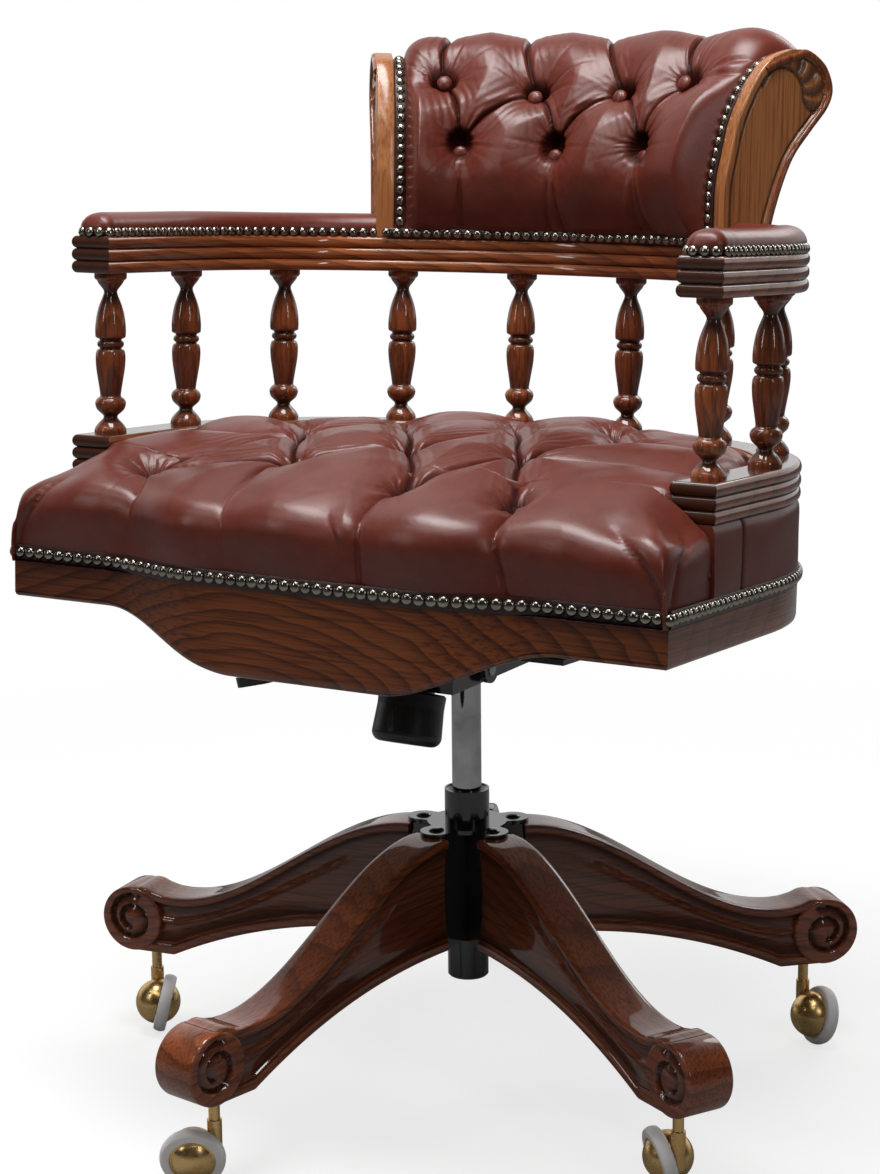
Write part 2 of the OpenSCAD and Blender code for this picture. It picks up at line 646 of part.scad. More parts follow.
// Seat cushion: rows run across the seat from its front edge to its back
tufts = [[-210, -212], [-95, -212], [54, -212], [160, -212],
    [-126, -105], [-6, -105], [109, -105],
    [-195, 15], [-76, 15], [45, 15], [151, 15],
    [-136, 120], [-22, 120], [92, 120]];
folds = [[0, 4], [1, 4], [1, 5], [2, 5], [2, 6], [3, 6], [4, 7], [4, 8], [5, 8], [5, 9], [6, 9],
    [6, 10], [7, 11], [8, 11], [8, 12], [9, 12], [9, 13], [10, 13]];
function to_line(p, a, b) = let (d = b - a, t = min(1, max(0, (p - a) * d / (d * d)))) norm(p - a - t * d);
function tuft_depth(p) = max(
    max([for (t = tufts) seat_tuft * exp(-pow(norm(p - t) / 27, 2))]),
    max([for (f = folds) 0.42 * seat_tuft * exp(-pow(to_line(p, tufts[f[0]], tufts[f[1]]) / 15, 2))]));
inner_off = -rail_w / 2 - gap;
seat_join = bend_y + (bend_r + inner_off) * sin(bend_deg);
seat_back = back_y + back_r + inner_off;
function seat_half(y) = y < -rail_front - gap ? seat_w / 2 - 1 :
    y < bend_y ? side_x + inner_off :
    y < seat_join ? bend_x + sqrt(pow(bend_r + inner_off, 2) - pow(y - bend_y, 2)) :
    sqrt(max(1, pow(back_r + inner_off, 2) - pow(y - back_y, 2)));
// The crown is a dome, highest a little in front of the column
function dome(y) = crown_h - 0.00062 * pow(y + 10, 2);
// Rows in [y, height over the band]; the last ones close the back edge
front_edge = [[-5, 0], [-4.6, 0.2], [-3.8, 0.5], [-1.4, 0.78], [5, 1]];
front_roll = [[15, 0.6], [29, 0.84], [47, 0.95], [66, 1]];
seat_rows = concat(
    [for (q = front_edge) [q.x - seat_front, q.y * edge_h]],
    [for (q = front_roll) let (y = q.x - seat_front) [y, edge_h + q.y * (dome(y) - edge_h)]],
    [for (g = [2 * gap, gap / 2]) [-rail_front - g, dome(-rail_front - g)]],
    [for (i = [1:17]) let (y = -rail_front + (seat_back - 20 + rail_front) * i / 17) [y, dome(y)]],
    [for (q = [[11, 0.92], [6, 0.76], [3.5, 0.4], [2, 0]]) [seat_back - q.x, q.y * dome(seat_back)]]);
seat_m = 28;
// Side edge in [distance in from the side, share of the height], at the front corners and past them
ear_edge = [[0, 0], [1.2, 0.45], [2.5, 0.7], [10, 0.84], [24, 0.93], [44, 0.98]];
side_edge = [[0, 0], [1.2, 0.5], [2.5, 0.76], [9, 0.9], [22, 0.97], [44, 1]];
function seat_col(j, y) = (y < -rail_front ? ear_edge : side_edge)[min(5, j, seat_m - j)];
function seat_x(j, w) = let (in = seat_col(j, 0).x * min(1, w / 90))
    j <= 5 ? in - w : j >= seat_m - 5 ? w - in :
    (w - in) * (2 * (j - 5) / (seat_m - 10) - 1);
pleats = [-206, -99, 50, 160];
function seat_point(i, j) = let (
    r = seat_rows[i],
    w = seat_half(r.x),
    x = seat_x(j, w),
    part = seat_col(j, r.x).y,
    f = ease((-rail_front - r.x) / 80),
    pull = r.x < -rail_front - 20 && r.y > 0 && r.y < edge_h ?
        5 * max([for (p = pleats) exp(-pow((x - p) / 10, 2))]) : 0,
    y = r.x - f * (bulge(x) + 3 * (1 - pow(x / w, 2))) + pull
        - (i >= len(seat_rows) - 4 ? x * x / (2 * back_r) : 0),
    z = (r.y - (r.y > edge_h ? tuft_depth([x, y]) + 8 * pow(x / 200, 2) : 0)) * part)
    [x, y, band_top_z + max(0, z)];
module seat_cushion() {
    n = len(seat_rows);
    m = seat_m + 1;
    pts = [for (i = [0:n - 1]) for (j = [0:seat_m]) seat_point(i, j)];
    top = [for (i = [0:n - 2]) for (j = [0:seat_m - 1]) let (a = i * m + j)
        each [[a, a + 1, a + m], [a + 1, a + m + 1, a + m]]];
    under = [for (i = [0:n - 2]) let (a = i * m, b = a + seat_m) each [[a, a + m, b], [b, a + m, b + m]]];
    h = seat_m / 2;
    ends = [for (j = [0:h - 1]) each [
        if (j < h - 1) [j, seat_m - j - 1, j + 1],
        [j, seat_m - j, seat_m - j - 1]]];
    last = (n - 1) * m;
    color(hide) raked() polyhedron(pts, concat(top, under, ends,
        [for (f = ends) [last + f[0], last + f[2], last + f[1]]]));
}

// Reeded rails: three round reeds on each side and on the front ends
reed_in = 4;
function reeds(w, s) = [for (j = [0:2]) for (i = [-2:2])
    [s * (w - reed_in * (1 - cos(40 * i))), rail_t / 3 * (j + 0.5 + 0.5 * sin(40 * i) / sin(80))]];
module rail_section() {
    polygon(concat(reeds(rail_w / 2, 1), reversed(reeds(rail_w / 2, -1))));
}
module rail(z) {
    color(wood) raked() translate([0, 0, z]) intersection() {
        bow(rail_front) rail_section();
        translate([-seat_w, 0, 0]) rotate([90, 0, 90]) linear_extrude(2 * seat_w)
            polygon(concat([[seat_w, 0]], reeds(rail_front, -1), [[seat_w, rail_t]]));
    }
}
module lower_rail() {
    rail(rail_z);
}
module upper_rail() {
    rail(upper_z);
}
// Turned spindles: depth below the top as a part of the height, radius as a part of the largest
spindle_pts = [[0, 1], [0.03, 1], [0.048, 0.88], [0.08, 0.64], [0.105, 0.45], [0.122, 0.41], [0.15, 0.5],
    [0.19, 0.66], [0.24, 0.81], [0.3, 0.91], [0.35, 0.95], [0.39, 0.94], [0.402, 0.88], [0.41, 0.7],
    [0.42, 0.72], [0.432, 0.81], [0.45, 0.81], [0.464, 0.7], [0.473, 0.74], [0.483, 0.85], [0.5, 0.91],
    [0.54, 0.92], [0.6, 0.88], [0.67, 0.77], [0.74, 0.66], [0.767, 0.64], [0.79, 0.86], [0.812, 0.95],
    [0.845, 0.87], [0.87, 0.64], [0.89, 0.45], [0.904, 0.46], [0.93, 0.7], [0.96, 0.92], [0.98, 1], [1, 1]];
spindle_pitch = 121.3;
module spindle_pair(k) {
    at = on_plan(spindle_pitch * (k + 0.5), 0);
    color(wood) raked() both_sides() translate([at.x, at.y, spindle_z]) rotate_extrude()
        polygon(concat([[0, spindle_h]],
            [for (p = spindle_pts) [p[1] * spindle_d / 2, spindle_h * (1 - p[0])]], [[0, 0]]));
}

// Arm pads: from the front of the upper rail to the wings
pad_len = back_len + bend_len + rail_front + bend_y;
pad_from = wing_deg * PI / 180 * back_r + 1.5;
pad_w = rail_w / 2 - 5;
pad_sec = [[-1, 0], [-1.04, 0.26], [-0.94, 0.6], [-0.66, 0.87], [-0.3, 0.98], [0, 1], [0.3, 0.98],
    [0.66, 0.87], [0.94, 0.6], [1.04, 0.26], [1, 0]];
function pad_run(i) = i < 3 ? [0, 1.5, 8][i] : i > 27 ? pad_len - pad_from - 8 + [0, 4, 6.5, 8][i - 28] - 5 :
    8 + (pad_len - pad_from - 24) * (i - 2) / 26;
function pad_fall(i) = i == 0 ? 0.7 : i == 1 ? 0.86 : i == 28 ? 0.96 : i == 29 ? 0.86 : i == 30 ? 0.66 :
    i == 31 ? 0.25 : 1;
module arm_pad() {
    pts = [for (i = [0:31]) for (q = pad_sec)
        let (p = on_plan(pad_from + pad_run(i), q.x * pad_w * (0.6 + 0.4 * min(1, pad_fall(i) + 0.14))))
        [p.x, p.y, pad_z + q.y * pad_h * pad_fall(i)]];
    m = len(pad_sec);
    caps = [for (j = [1:m - 2]) each [[0, j + 1, j], 31 * m * [1, 1, 1] + [0, j, j + 1]]];
    polyhedron(pts, concat(ring_sides(32, m), caps));
}
module arm_pad_right() {
    color(hide) raked() arm_pad();
}
module arm_pad_left() {
    color(hide) raked() mirror([1, 0, 0]) arm_pad();
}

// Back: x runs outwards from the rail's centre line, y is height over the upper rail
wing_front = [[-20, 0], [-20, 54], [-15, 84], [-8, 116], [3, 141], [14, 159], [29, 174], [50, 181]];
wing_rear = [[65, 181], [82, 170], [90, 156], [92, 143], [87, 129], [73, 110], [55, 86], [43, 58],
    [33, 24], [29, 0]];
// Points are drawn for a back 181 high and follow its height
function tall(p) = [for (q = p) [q.x, q.y * back_h / 181]];
module board_on_wing(t, lift) {
    translate([0, back_y, pad_z]) rotate([0, 0, -wing_deg]) translate([lift, back_r, 0])
        rotate([90, 0, 90]) linear_extrude(t) children();
}
wing_bead = concat(curve(wing_rear, 30), [for (i = [30:-1:0]) let (p = curve_at(wing_rear, i / 30),
    q = curve_at(wing_rear, max(0, i - 1) / 30), r = curve_at(wing_rear, min(30, i + 1) / 30),
    d = (r - q) / norm(r - q)) p + 8 * [d.y, -d.x]]);
module wing() {
    board_on_wing(wing_t, -wing_t) polygon(tall(concat(curve(wing_front, 20), curve(wing_rear, 30))));
    board_on_wing(2.5, -0.01) polygon(tall(wing_bead));
}
module wing_right() {
    color(wood_light) raked() wing();
}
module wing_left() {
    color(wood_light) raked() mirror([1, 0, 0]) wing();
}
wing_in = wing_deg - atan2(wing_t, back_r - 20) - 0.1;
frame_front = [[0, 0], [0, 83], [10, 118], [30, 148]];
frame_rear = [[44, 138], [24, 108], [14, 73], [14, 0]];
module back_frame() {
    color("#8f6a3c") raked() translate([0, 0, pad_z]) back_bend(wing_in) polygon(tall(concat(frame_front, frame_rear)));
}
module back_cover() {
    color(hide) raked() translate([0, 0, pad_z]) back_bend(wing_in)
        polygon(tall(concat(reversed(frame_rear), [[65, 118], [53, 92], [41, 61], [31, 24], [27, 0]])));
}
// Buttons in [angle from the middle, height, depth outwards]
buttons = [[-23.5, 154, -0.2], [-8, 140, -6], [7.3, 141, -6], [19.5, 154, -0.2],
    [-20.1, 84, -22], [-3, 82, -23], [14.5, 82, -22]];
pleat_up = [-23.5, -8, 7.3, 19.5];
pleat_down = [-20.1, -3, 14.5];
lean_lines = [[0, 4], [1, 4], [1, 5], [2, 5], [2, 6], [3, 6]];
soft_front = [[-21, 0], [-36, 8], [-46, 24], [-50, 46], [-48, 70], [-43, 92], [-35, 114], [-24, 136],
    [-10, 157], [4, 176], [20, 192], [38, 202], [56, 204], [76, 198], [93, 183], [102, 163], [101, 145],
    [93, 130], [80, 120], [68, 118.5], [66, 118.6]];
hard_front = [[-20.5, 0], [-20.5, 12], [-20.5, 26], [-20.5, 44], [-19, 64], [-15, 84], [-10, 104],
    [-3, 126], [8, 146], [20, 162], [34, 173], [46, 178], [58, 179], [70, 175], [82, 167], [90, 154],
    [91, 142], [85, 129], [77, 119.5], [68, 118.4], [66, 118.6]];
soft_back = [[0, 0], [0, 20], [0, 42], [0, 64], [0, 83], [5, 100.5], [10, 118], [20, 133.3],
    [30, 148.6], [44.6, 138.8], [60, 124]];
back_steps = 32;
function fold_of(t, z) = max(
    max([for (p = pleat_up) z > 150 ? 0.4 * exp(-pow((t - p) / 2, 2)) : 0]),
    max([for (p = pleat_down) z < 86 ? 0.5 * exp(-pow((t - p) / 2, 2)) : 0]),
    max([for (l = lean_lines) let (a = buttons[l[0]], b = buttons[l[1]])
        0.4 * exp(-pow(to_line([6 * t, z], [6 * a[0], a[1]], [6 * b[0], b[1]]) / 11, 2))]),
    max([for (b = buttons) exp(-pow(norm([6 * t, z] - [6 * b[0], b[1]]) / 20, 2))]));
function soft_ring(t) = let (full = pow(ease((wing_in - abs(t)) / 5), 0.6) * back_full / 30)
    concat(
        [for (i = [0:20]) let (
            p = hard_front[i] + (soft_front[i] - hard_front[i]) * full,
            c = [24, min(p.y, 120)],
            d = i < 14 && i > 0 ? back_tuft * full * fold_of(t, p.y) : 0)
            p + d * (c - p) / norm(c - p)],
        reversed(soft_back));
function around(t, p) = [(back_r + p.x) * sin(t), back_y + (back_r + p.x) * cos(t), pad_z + p.y * back_h / 181];
module back_cushion() {
    m = 32;
    n = back_steps + 1;
    pts = [for (i = [0:back_steps]) let (t = wing_in * (1 - 2 * i / back_steps)) for (p = soft_ring(t)) around(t, p)];
    cap = [for (k = [0:9]) each [[31 - k, 2 * k + 1, 2 * k], [31 - k, 2 * k + 2, 2 * k + 1],
        [31 - k, 30 - k, 2 * k + 2]]];
    last = (n - 1) * m;
    color(hide) raked() polyhedron(pts, concat(ring_sides(n, m), cap,
        [for (f = cap) [last + f[0], last + f[2], last + f[1]]]));
}
module back_buttons() {
    color(hide) raked() for (b = buttons) let (p = around(b[0], [b[2], b[1]]))
        translate(p) rotate([0, 0, -b[0]]) rotate([b[1] > 100 ? 65 : 85, 0, 0]) rotate_extrude()
            polygon(concat([[0, -3], [button_d / 2 - 1, -3]], arc(0, 0, button_d / 2, 0, 90, 5) * [[1, 0], [0, 0.55]]));
}

star_leg(0);  // star_leg_1
star_leg(1);  // star_leg_2
star_leg(2);  // star_leg_3
star_leg(3);  // star_leg_4
star_leg(4);  // star_leg_5
hub_star();
hub_plate();
hub_screws();
column_tube();
guide_bush();
thrust_bearing();
piston_rod();
pressure_tube();
valve_pin();
mech_housing();
tilt_axle();
tension_spring();
tension_knob();
lever_rod();
lever_paddle();
caster_hood(0);  // caster_hood_1
caster_hood(1);  // caster_hood_2
caster_hood(2);  // caster_hood_3
caster_hood(3);  // caster_hood_4
caster_hood(4);  // caster_hood_5
wheel_core(0);  // wheel_core_1
wheel_core(1);  // wheel_core_2
wheel_core(2);  // wheel_core_3
wheel_core(3);  // wheel_core_4
wheel_core(4);  // wheel_core_5
wheel_tyre(0);  // wheel_tyre_1
wheel_tyre(1);  // wheel_tyre_2
wheel_tyre(2);  // wheel_tyre_3
wheel_tyre(3);  // wheel_tyre_4
wheel_tyre(4);  // wheel_tyre_5
seat_plate();
plate_screws();
seat_battens();
apron_front();
seat_band();
seat_deck();
seat_border();
seat_cushion();
lower_rail();
spindle_pair(0);  // spindle_pair_1
spindle_pair(1);  // spindle_pair_2
spindle_pair(2);  // spindle_pair_3
spindle_pair(3);  // spindle_pair_4
spindle_pair(4);  // spindle_pair_5
upper_rail();
arm_pad_left();
arm_pad_right();
wing_left();
wing_right();
back_frame();
back_cover();
back_cushion();
back_buttons();
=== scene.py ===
# %% [markdown]
# # A captain's swivel desk chair
# The real chair is two crafts in one: a turned and reeded wooden gallery with a
# deep buttoned leather seat and back, and an office mechanism on a carved star base.
# The CAD model already holds every size and every joint, so this lesson only dresses
# it. Metal pieces keep their CAD shape and get a finish. Wood and leather pieces are
# rebuilt as finer meshes that stand in the same place.
#
# All lengths below are written in millimetres, as in a workshop drawing, and turned
# into metres once, where a mesh is made.

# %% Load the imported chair
import json
import math

import bpy
import numpy as np
from mathutils import Matrix, Vector


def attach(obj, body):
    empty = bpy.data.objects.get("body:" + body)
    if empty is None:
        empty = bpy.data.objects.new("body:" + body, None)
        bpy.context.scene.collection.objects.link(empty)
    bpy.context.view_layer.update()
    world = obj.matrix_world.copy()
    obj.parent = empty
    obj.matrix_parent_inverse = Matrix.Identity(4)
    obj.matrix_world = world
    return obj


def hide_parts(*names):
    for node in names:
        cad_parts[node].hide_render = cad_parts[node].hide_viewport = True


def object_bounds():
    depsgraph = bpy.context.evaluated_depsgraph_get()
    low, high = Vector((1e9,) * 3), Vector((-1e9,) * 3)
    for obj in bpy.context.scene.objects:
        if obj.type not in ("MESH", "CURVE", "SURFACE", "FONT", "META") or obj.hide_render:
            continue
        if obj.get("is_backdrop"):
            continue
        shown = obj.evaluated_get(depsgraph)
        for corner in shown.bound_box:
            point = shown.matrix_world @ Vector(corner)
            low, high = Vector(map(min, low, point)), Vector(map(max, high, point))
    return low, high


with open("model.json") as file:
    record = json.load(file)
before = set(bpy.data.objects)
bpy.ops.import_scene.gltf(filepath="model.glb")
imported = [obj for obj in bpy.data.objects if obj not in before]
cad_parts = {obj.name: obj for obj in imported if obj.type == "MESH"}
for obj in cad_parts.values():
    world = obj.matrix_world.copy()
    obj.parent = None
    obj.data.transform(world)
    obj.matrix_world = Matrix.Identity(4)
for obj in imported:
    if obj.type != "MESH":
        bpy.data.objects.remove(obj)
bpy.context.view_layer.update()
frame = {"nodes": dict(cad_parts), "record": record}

# %% [markdown]
# ## The camera
# The camera stands where the photographer stood: a little to the sitter's left, about
# a metre up and nearly two and a half metres away, with a portrait lens. It is placed
# from a target, two angles and a distance, because those are easy to read and to nudge.

# %% Place the camera
CAMERA_TURN = 0.51921
CAMERA_RISE = 0.202137
CAMERA_ROLL = -0.0100056
CAMERA_TARGET = Vector((-0.027232, 0, 0.47535))
CAMERA_DISTANCE = 2.47502
LENS_MM = 80.78

back = Vector((math.sin(CAMERA_TURN) * math.cos(CAMERA_RISE),
               -math.cos(CAMERA_TURN) * math.cos(CAMERA_RISE), math.sin(CAMERA_RISE)))
level_right = Vector((math.cos(CAMERA_TURN), math.sin(CAMERA_TURN), 0))
level_up = back.cross(level_right)
right = level_right * math.cos(CAMERA_ROLL) + level_up * math.sin(CAMERA_ROLL)
up = level_up * math.cos(CAMERA_ROLL) - level_right * math.sin(CAMERA_ROLL)
camera = bpy.data.objects.new("camera", bpy.data.cameras.new("camera"))
camera.data.lens = LENS_MM
camera.matrix_world = Matrix.Translation(CAMERA_TARGET + back * CAMERA_DISTANCE) @ Matrix(
    (right, up, back)).transposed().to_4x4()
bpy.context.scene.collection.objects.link(camera)
bpy.context.scene.camera = camera
print("camera at", [round(v, 3) for v in camera.location])

# %% [markdown]
# ## Studio light
# Leather and varnish are read by what they mirror. In the studio a white backdrop
# stands behind the chair, so everything that faces up mirrors it as a pale sheen, and
# the dark room is behind the camera. A wide oval lamp hangs above the seat. One long
# strip lamp hangs high in front: it draws the unbroken bright lines along the reeded
# rails and the front roll of the seat. A tall narrow lamp on each side draws the
# upright lines on the turned wood, and a weak one behind lifts the edges. All lamps are
# ellipses, so that their mirror images end softly. The world plays backdrop and room.

# %% Lamps
scene = bpy.context.scene
scene.view_settings.view_transform = "Standard"


def soft_lamp(name, place, size, watts, aim=(0, 0, 0.5)):
    lamp = bpy.data.objects.new(name, bpy.data.lights.new(name, "AREA"))
    lamp.data.shape = "ELLIPSE"
    lamp.data.size, lamp.data.size_y = size
    lamp.data.energy = watts
    lamp.location = place
    lamp.rotation_mode = "QUATERNION"
    lamp.rotation_quaternion = (Vector(aim) - Vector(place)).to_track_quat("-Z", "Y")
    scene.collection.objects.link(lamp)
    return lamp


soft_lamp("lamp_top", (-0.1, -0.3, 2.8), (1.9, 0.9), 60)
soft_lamp("lamp_strip", (-0.1, -1.45, 2.7), (3.4, 0.16), 14)
soft_lamp("lamp_left", (-1.25, -2.2, 1.75), (0.22, 1.2), 6)
soft_lamp("lamp_right", (2.3, -1.15, 1.7), (0.2, 1.2), 6)
soft_lamp("lamp_back", (0.4, 2.3, 1.9), (1.2, 0.8), 8)

# %% A small helper for shader nodes
def adder(tree):
    """Gives `add`, which makes a node and sets or links its inputs by name, or by number as i0, i1."""
    def add(kind, **settings):
        made = tree.nodes.new("ShaderNode" + kind)
        for key, value in settings.items():
            name = key.replace("_", " ")
            if name in made.inputs.keys():
                socket = made.inputs[name]
            elif key[0] == "i" and key[1:].isdigit():
                socket = made.inputs[int(key[1:])]
            else:
                setattr(made, key, value)
                continue
            if isinstance(value, bpy.types.NodeSocket):
                tree.links.new(value, socket)
            else:
                socket.default_value = value
        return made
    return add


# %% The backdrop and the room, as the world
BACKDROP_LIGHT, ROOM_LIGHT = 0.8, 0.035
world = bpy.data.worlds.new("studio")
scene.world = world
world.use_nodes = True
world.node_tree.nodes.clear()
add = adder(world.node_tree)
facing = add("VectorMath", operation="DOT_PRODUCT", i0=add("TexCoord").outputs["Generated"], i1=tuple(-back))
studio = add("MapRange", interpolation_type="SMOOTHSTEP", Value=facing.outputs["Value"],
             From_Min=0.05, From_Max=0.6, To_Min=ROOM_LIGHT, To_Max=BACKDROP_LIGHT)
# where the camera looks straight at the world, it is pure white
seen = add("LightPath").outputs
direct = add("Math", operation="MAXIMUM", i0=seen["Is Camera Ray"], i1=seen["Is Transmission Ray"])
strength = add("Mix", Factor=direct.outputs[0], A=studio.outputs["Result"], B=1.0)
sky = add("Background", Color=(1, 1, 1, 1), Strength=strength.outputs["Result"])
add("OutputWorld", Surface=sky.outputs[0])

# %% [markdown]
# The floor is white paper. To the camera it is nearly white by itself, so only the
# chair's own soft shadow shows on it; for the light it is an ordinary pale surface.
# Away from the chair it fades into pure white, so no edge of the paper is seen.

# %% Floor
FLOOR_HALF, PAPER, PAPER_GLOW = 40.0, 0.32, 0.72
FADE_FROM, FADE_TO = 0.7, 1.8
floor_mesh = bpy.data.meshes.new("floor")
floor_mesh.from_pydata([(x * FLOOR_HALF, y * FLOOR_HALF, 0) for x, y in ((-1, -1), (1, -1), (1, 1), (-1, 1))],
                       [], [(0, 1, 2, 3)])
floor = bpy.data.objects.new("floor", floor_mesh)
scene.collection.objects.link(floor)
floor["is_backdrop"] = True
paper = bpy.data.materials.new("white_paper")
paper.use_nodes = True
paper.node_tree.nodes.clear()
add = adder(paper.node_tree)
matt = add("BsdfDiffuse", Color=(PAPER, PAPER, PAPER, 1)).outputs[0]
glowing = add("AddShader", i0=matt, i1=add("Emission", Strength=PAPER_GLOW).outputs[0])
distance = add("VectorMath", operation="LENGTH", i0=add("TexCoord").outputs["Object"])
fade = add("MapRange", From_Min=FADE_FROM, From_Max=FADE_TO, Value=distance.outputs["Value"])
shown = add("MixShader", Fac=fade.outputs["Result"], i1=glowing.outputs[0], i2=add("Emission").outputs[0])
choose = add("MixShader", Fac=add("LightPath").outputs["Is Camera Ray"], i1=matt, i2=shown.outputs[0])
add("OutputMaterial", Surface=choose.outputs[0])
floor_mesh.materials.append(paper)

# %% [markdown]
# ## Finishes
# Every finish is a small node graph over measured places on the piece, never a picture.
# Pieces made here carry a `grain` attribute: a place in metres that runs along the
# wood's length first, then across it. That way the fibres follow a bent rail round its
# bend, as they do in steamed or built-up stock. CAD pieces use their object place.
# Leather pieces carry an attribute that is 1 in the bottom of a crease and 0 on a crown.
# It paints shade into the creases and gathers of the hide, and on the border it darkens
# the seams.

# %% A small helper for materials
class NodeKit:
    """A new material with a Principled shader. The methods make nodes and give their outputs."""

    def __init__(self, name):
        self.material = bpy.data.materials.new(name)
        self.material.use_nodes = True
        self.add = adder(self.material.node_tree)

    def ramp(self, value, stops):
        """A grey for each value: `stops` holds places and greys."""
        made = self.add("ValToRGB", i0=value)
        while len(made.color_ramp.elements) < len(stops):
            made.color_ramp.elements.new(0.5)
        for element, (at, grey) in zip(made.color_ramp.elements, stops):
            element.position = at
            element.color = (grey, grey, grey, 1)
        return made.outputs["Color"]

    def mix(self, factor, a, b):
        a, b = ((*c, 1) if isinstance(c, tuple) else c for c in (a, b))
        return self.add("Mix", data_type="RGBA", i0=factor, i6=a, i7=b).outputs[2]

    def bump(self, height, amount, distance, **under):
        return self.add("Bump", Height=height, Strength=amount, Distance=distance, **under).outputs["Normal"]

    def noise(self, place, **settings):
        return self.add("TexNoise", Vector=place, **settings).outputs["Fac"]

    def stretched(self, place, scale):
        return self.add("Mapping", Vector=place, Scale=scale).outputs[0]

    def stored(self, name, output="Fac"):
        return self.add("Attribute", attribute_name=name).outputs[output]

    def calc(self, operation, *values):
        return self.add("Math", operation=operation, **{"i%d" % i: v for i, v in enumerate(values)}).outputs[0]

    def shade(self, **settings):
        """Sets or links the inputs of the shader, and gives the finished material."""
        tree = self.material.node_tree
        for key, value in settings.items():
            socket = tree.nodes["Principled BSDF"].inputs[key.replace("_", " ")]
            if isinstance(value, bpy.types.NodeSocket):
                tree.links.new(value, socket)
            else:
                socket.default_value = value
        return self.material


# %% [markdown]
# ### Varnished wood
# Stained hardwood shows three layers: slow bands where the saw crossed the year rings,
# short dark pores that run with the length, and a thick clear varnish that mirrors the
# lamps. The rings come from a warped distance to a tilted tree axis, which gives the
# arched figure of a flat-sawn board; the pores are noise stretched along the length.
# A dark glaze is wiped over the stain and stays in the hollows and on end grain. In the
# hollows and corners the same darkening also stands for the shade that falls there, so it
# is painted shade as well; the piece's attribute for glaze and painted shade says where.

# %% Wood finish
def wood_finish(name, dark, mid, light, attribute="grain", ring=0.0075, tilt=0.18, figure=0.85, gloss=0.06,
                heart=(0.02, 0.033, 0.055), coat=1.0):
    kit = NodeKit(name)
    place = kit.stored(attribute, "Vector") if attribute else kit.add("TexCoord").outputs["Object"]
    warp = kit.add("TexNoise", Vector=kit.stretched(place, (4, 10, 10)), Scale=1.0, Detail=2.0, Roughness=0.5)
    moved = kit.add("VectorMath", operation="MULTIPLY_ADD", i0=warp.outputs["Color"],
                    i1=(0.05, 0.04, 0.04), i2=place)
    tree = kit.add("Mapping", Vector=moved.outputs[0], Scale=(tilt, 1.0, 1.0), Location=heart)
    rings = kit.add("TexWave", Vector=tree.outputs[0], wave_type="RINGS", rings_direction="SPHERICAL",
                    wave_profile="SAW", Scale=math.pi / (10 * ring), Distortion=2.2, Detail=2.0,
                    Detail_Scale=1.2).outputs["Color"]
    fibre = kit.noise(kit.stretched(place, (12, 460, 460)), Scale=1.0, Detail=3.0, Roughness=0.55)
    slow = kit.noise(kit.stretched(place, (3, 9, 9)), Scale=1.0, Detail=2.0)
    base = kit.mix(kit.ramp(slow, [(0.38, 0), (0.7, 1)]), mid, light)
    base = kit.mix(kit.ramp(rings, [(0, 0), (0.55, 0.25 * figure), (0.92, figure), (1, 0)]), base, dark)
    base = kit.mix(kit.ramp(fibre, [(0.34, 0.6), (0.54, 0)]), base, tuple(0.45 * c for c in dark))
    # glaze, and painted shade in the hollows and corners: darker where the piece's attribute says
    base = kit.mix(kit.stored("glaze"), base, tuple(0.16 * c for c in mid))
    return kit.shade(Base_Color=base, Roughness=kit.ramp(fibre, [(0.3, 0.6), (0.7, 0.45)]), Coat_Weight=coat,
                     Coat_Roughness=gloss, Specular_IOR_Level=0.18, Normal=kit.bump(fibre, 0.05, 0.0004),
                     Coat_Normal=kit.bump(slow, 0.15, 0.002))


dark_wood = wood_finish("dark_wood", (0.045, 0.0085, 0.003), (0.2, 0.043, 0.0122), (0.36, 0.092, 0.025), figure=0.55)
apron_wood = wood_finish("apron_wood", (0.028, 0.005, 0.0015), (0.165, 0.036, 0.008), (0.27, 0.07, 0.015),
                         ring=0.0105, tilt=0.42, figure=0.75, heart=(0.045, 0.09, 0.035))
# the rails take a paler copy of the dark wood: the extra paleness is painted light, for the light from above that
# falls on the rails
rail_wood_painted_paler = wood_finish("rail_wood_painted_paler", (0.05, 0.011, 0.0035), (0.265, 0.066, 0.0185), (0.44, 0.125, 0.034),
                        figure=0.55)
light_wood = wood_finish("light_wood", (0.24, 0.082, 0.025), (0.37, 0.13, 0.038), (0.5, 0.195, 0.065),
                         ring=0.02, figure=0.22, gloss=0.2)
batten_wood = wood_finish("dark_wood_of_seat_battens", (0.026, 0.0075, 0.0035), (0.07, 0.021, 0.0085),
                          (0.11, 0.036, 0.014), attribute=None)
plywood = wood_finish("plywood", (0.33, 0.2, 0.09), (0.46, 0.3, 0.15), (0.55, 0.38, 0.2), attribute=None,
                      ring=0.006, coat=0.0)
print("wood finishes:", [m.name for m in (dark_wood, apron_wood, rail_wood_painted_paler, light_wood, batten_wood, plywood)])

# %% [markdown]
# ### Oxblood leather
# A finished hide has a fine pebble grain of about a millimetre, slow clouds of colour
# from the hand rub, and a soft shine. The crease attribute paints shade into the gathers
# and makes them duller. Pleats finer than the mesh are bumps: `tuft` holds the way to
# the nearest tuft and the distance to the nearest fold, so a wave round the tuft makes
# rays and a wave along the fold makes puckers; `gathered` says how strong each is.

# %% Leather finish
# waves round a tuft, the slower waves that break them up, and waves in each millimetre beside a fold
RAYS, BEATS, PUCKERS = 15.0, 4.0, 1.25


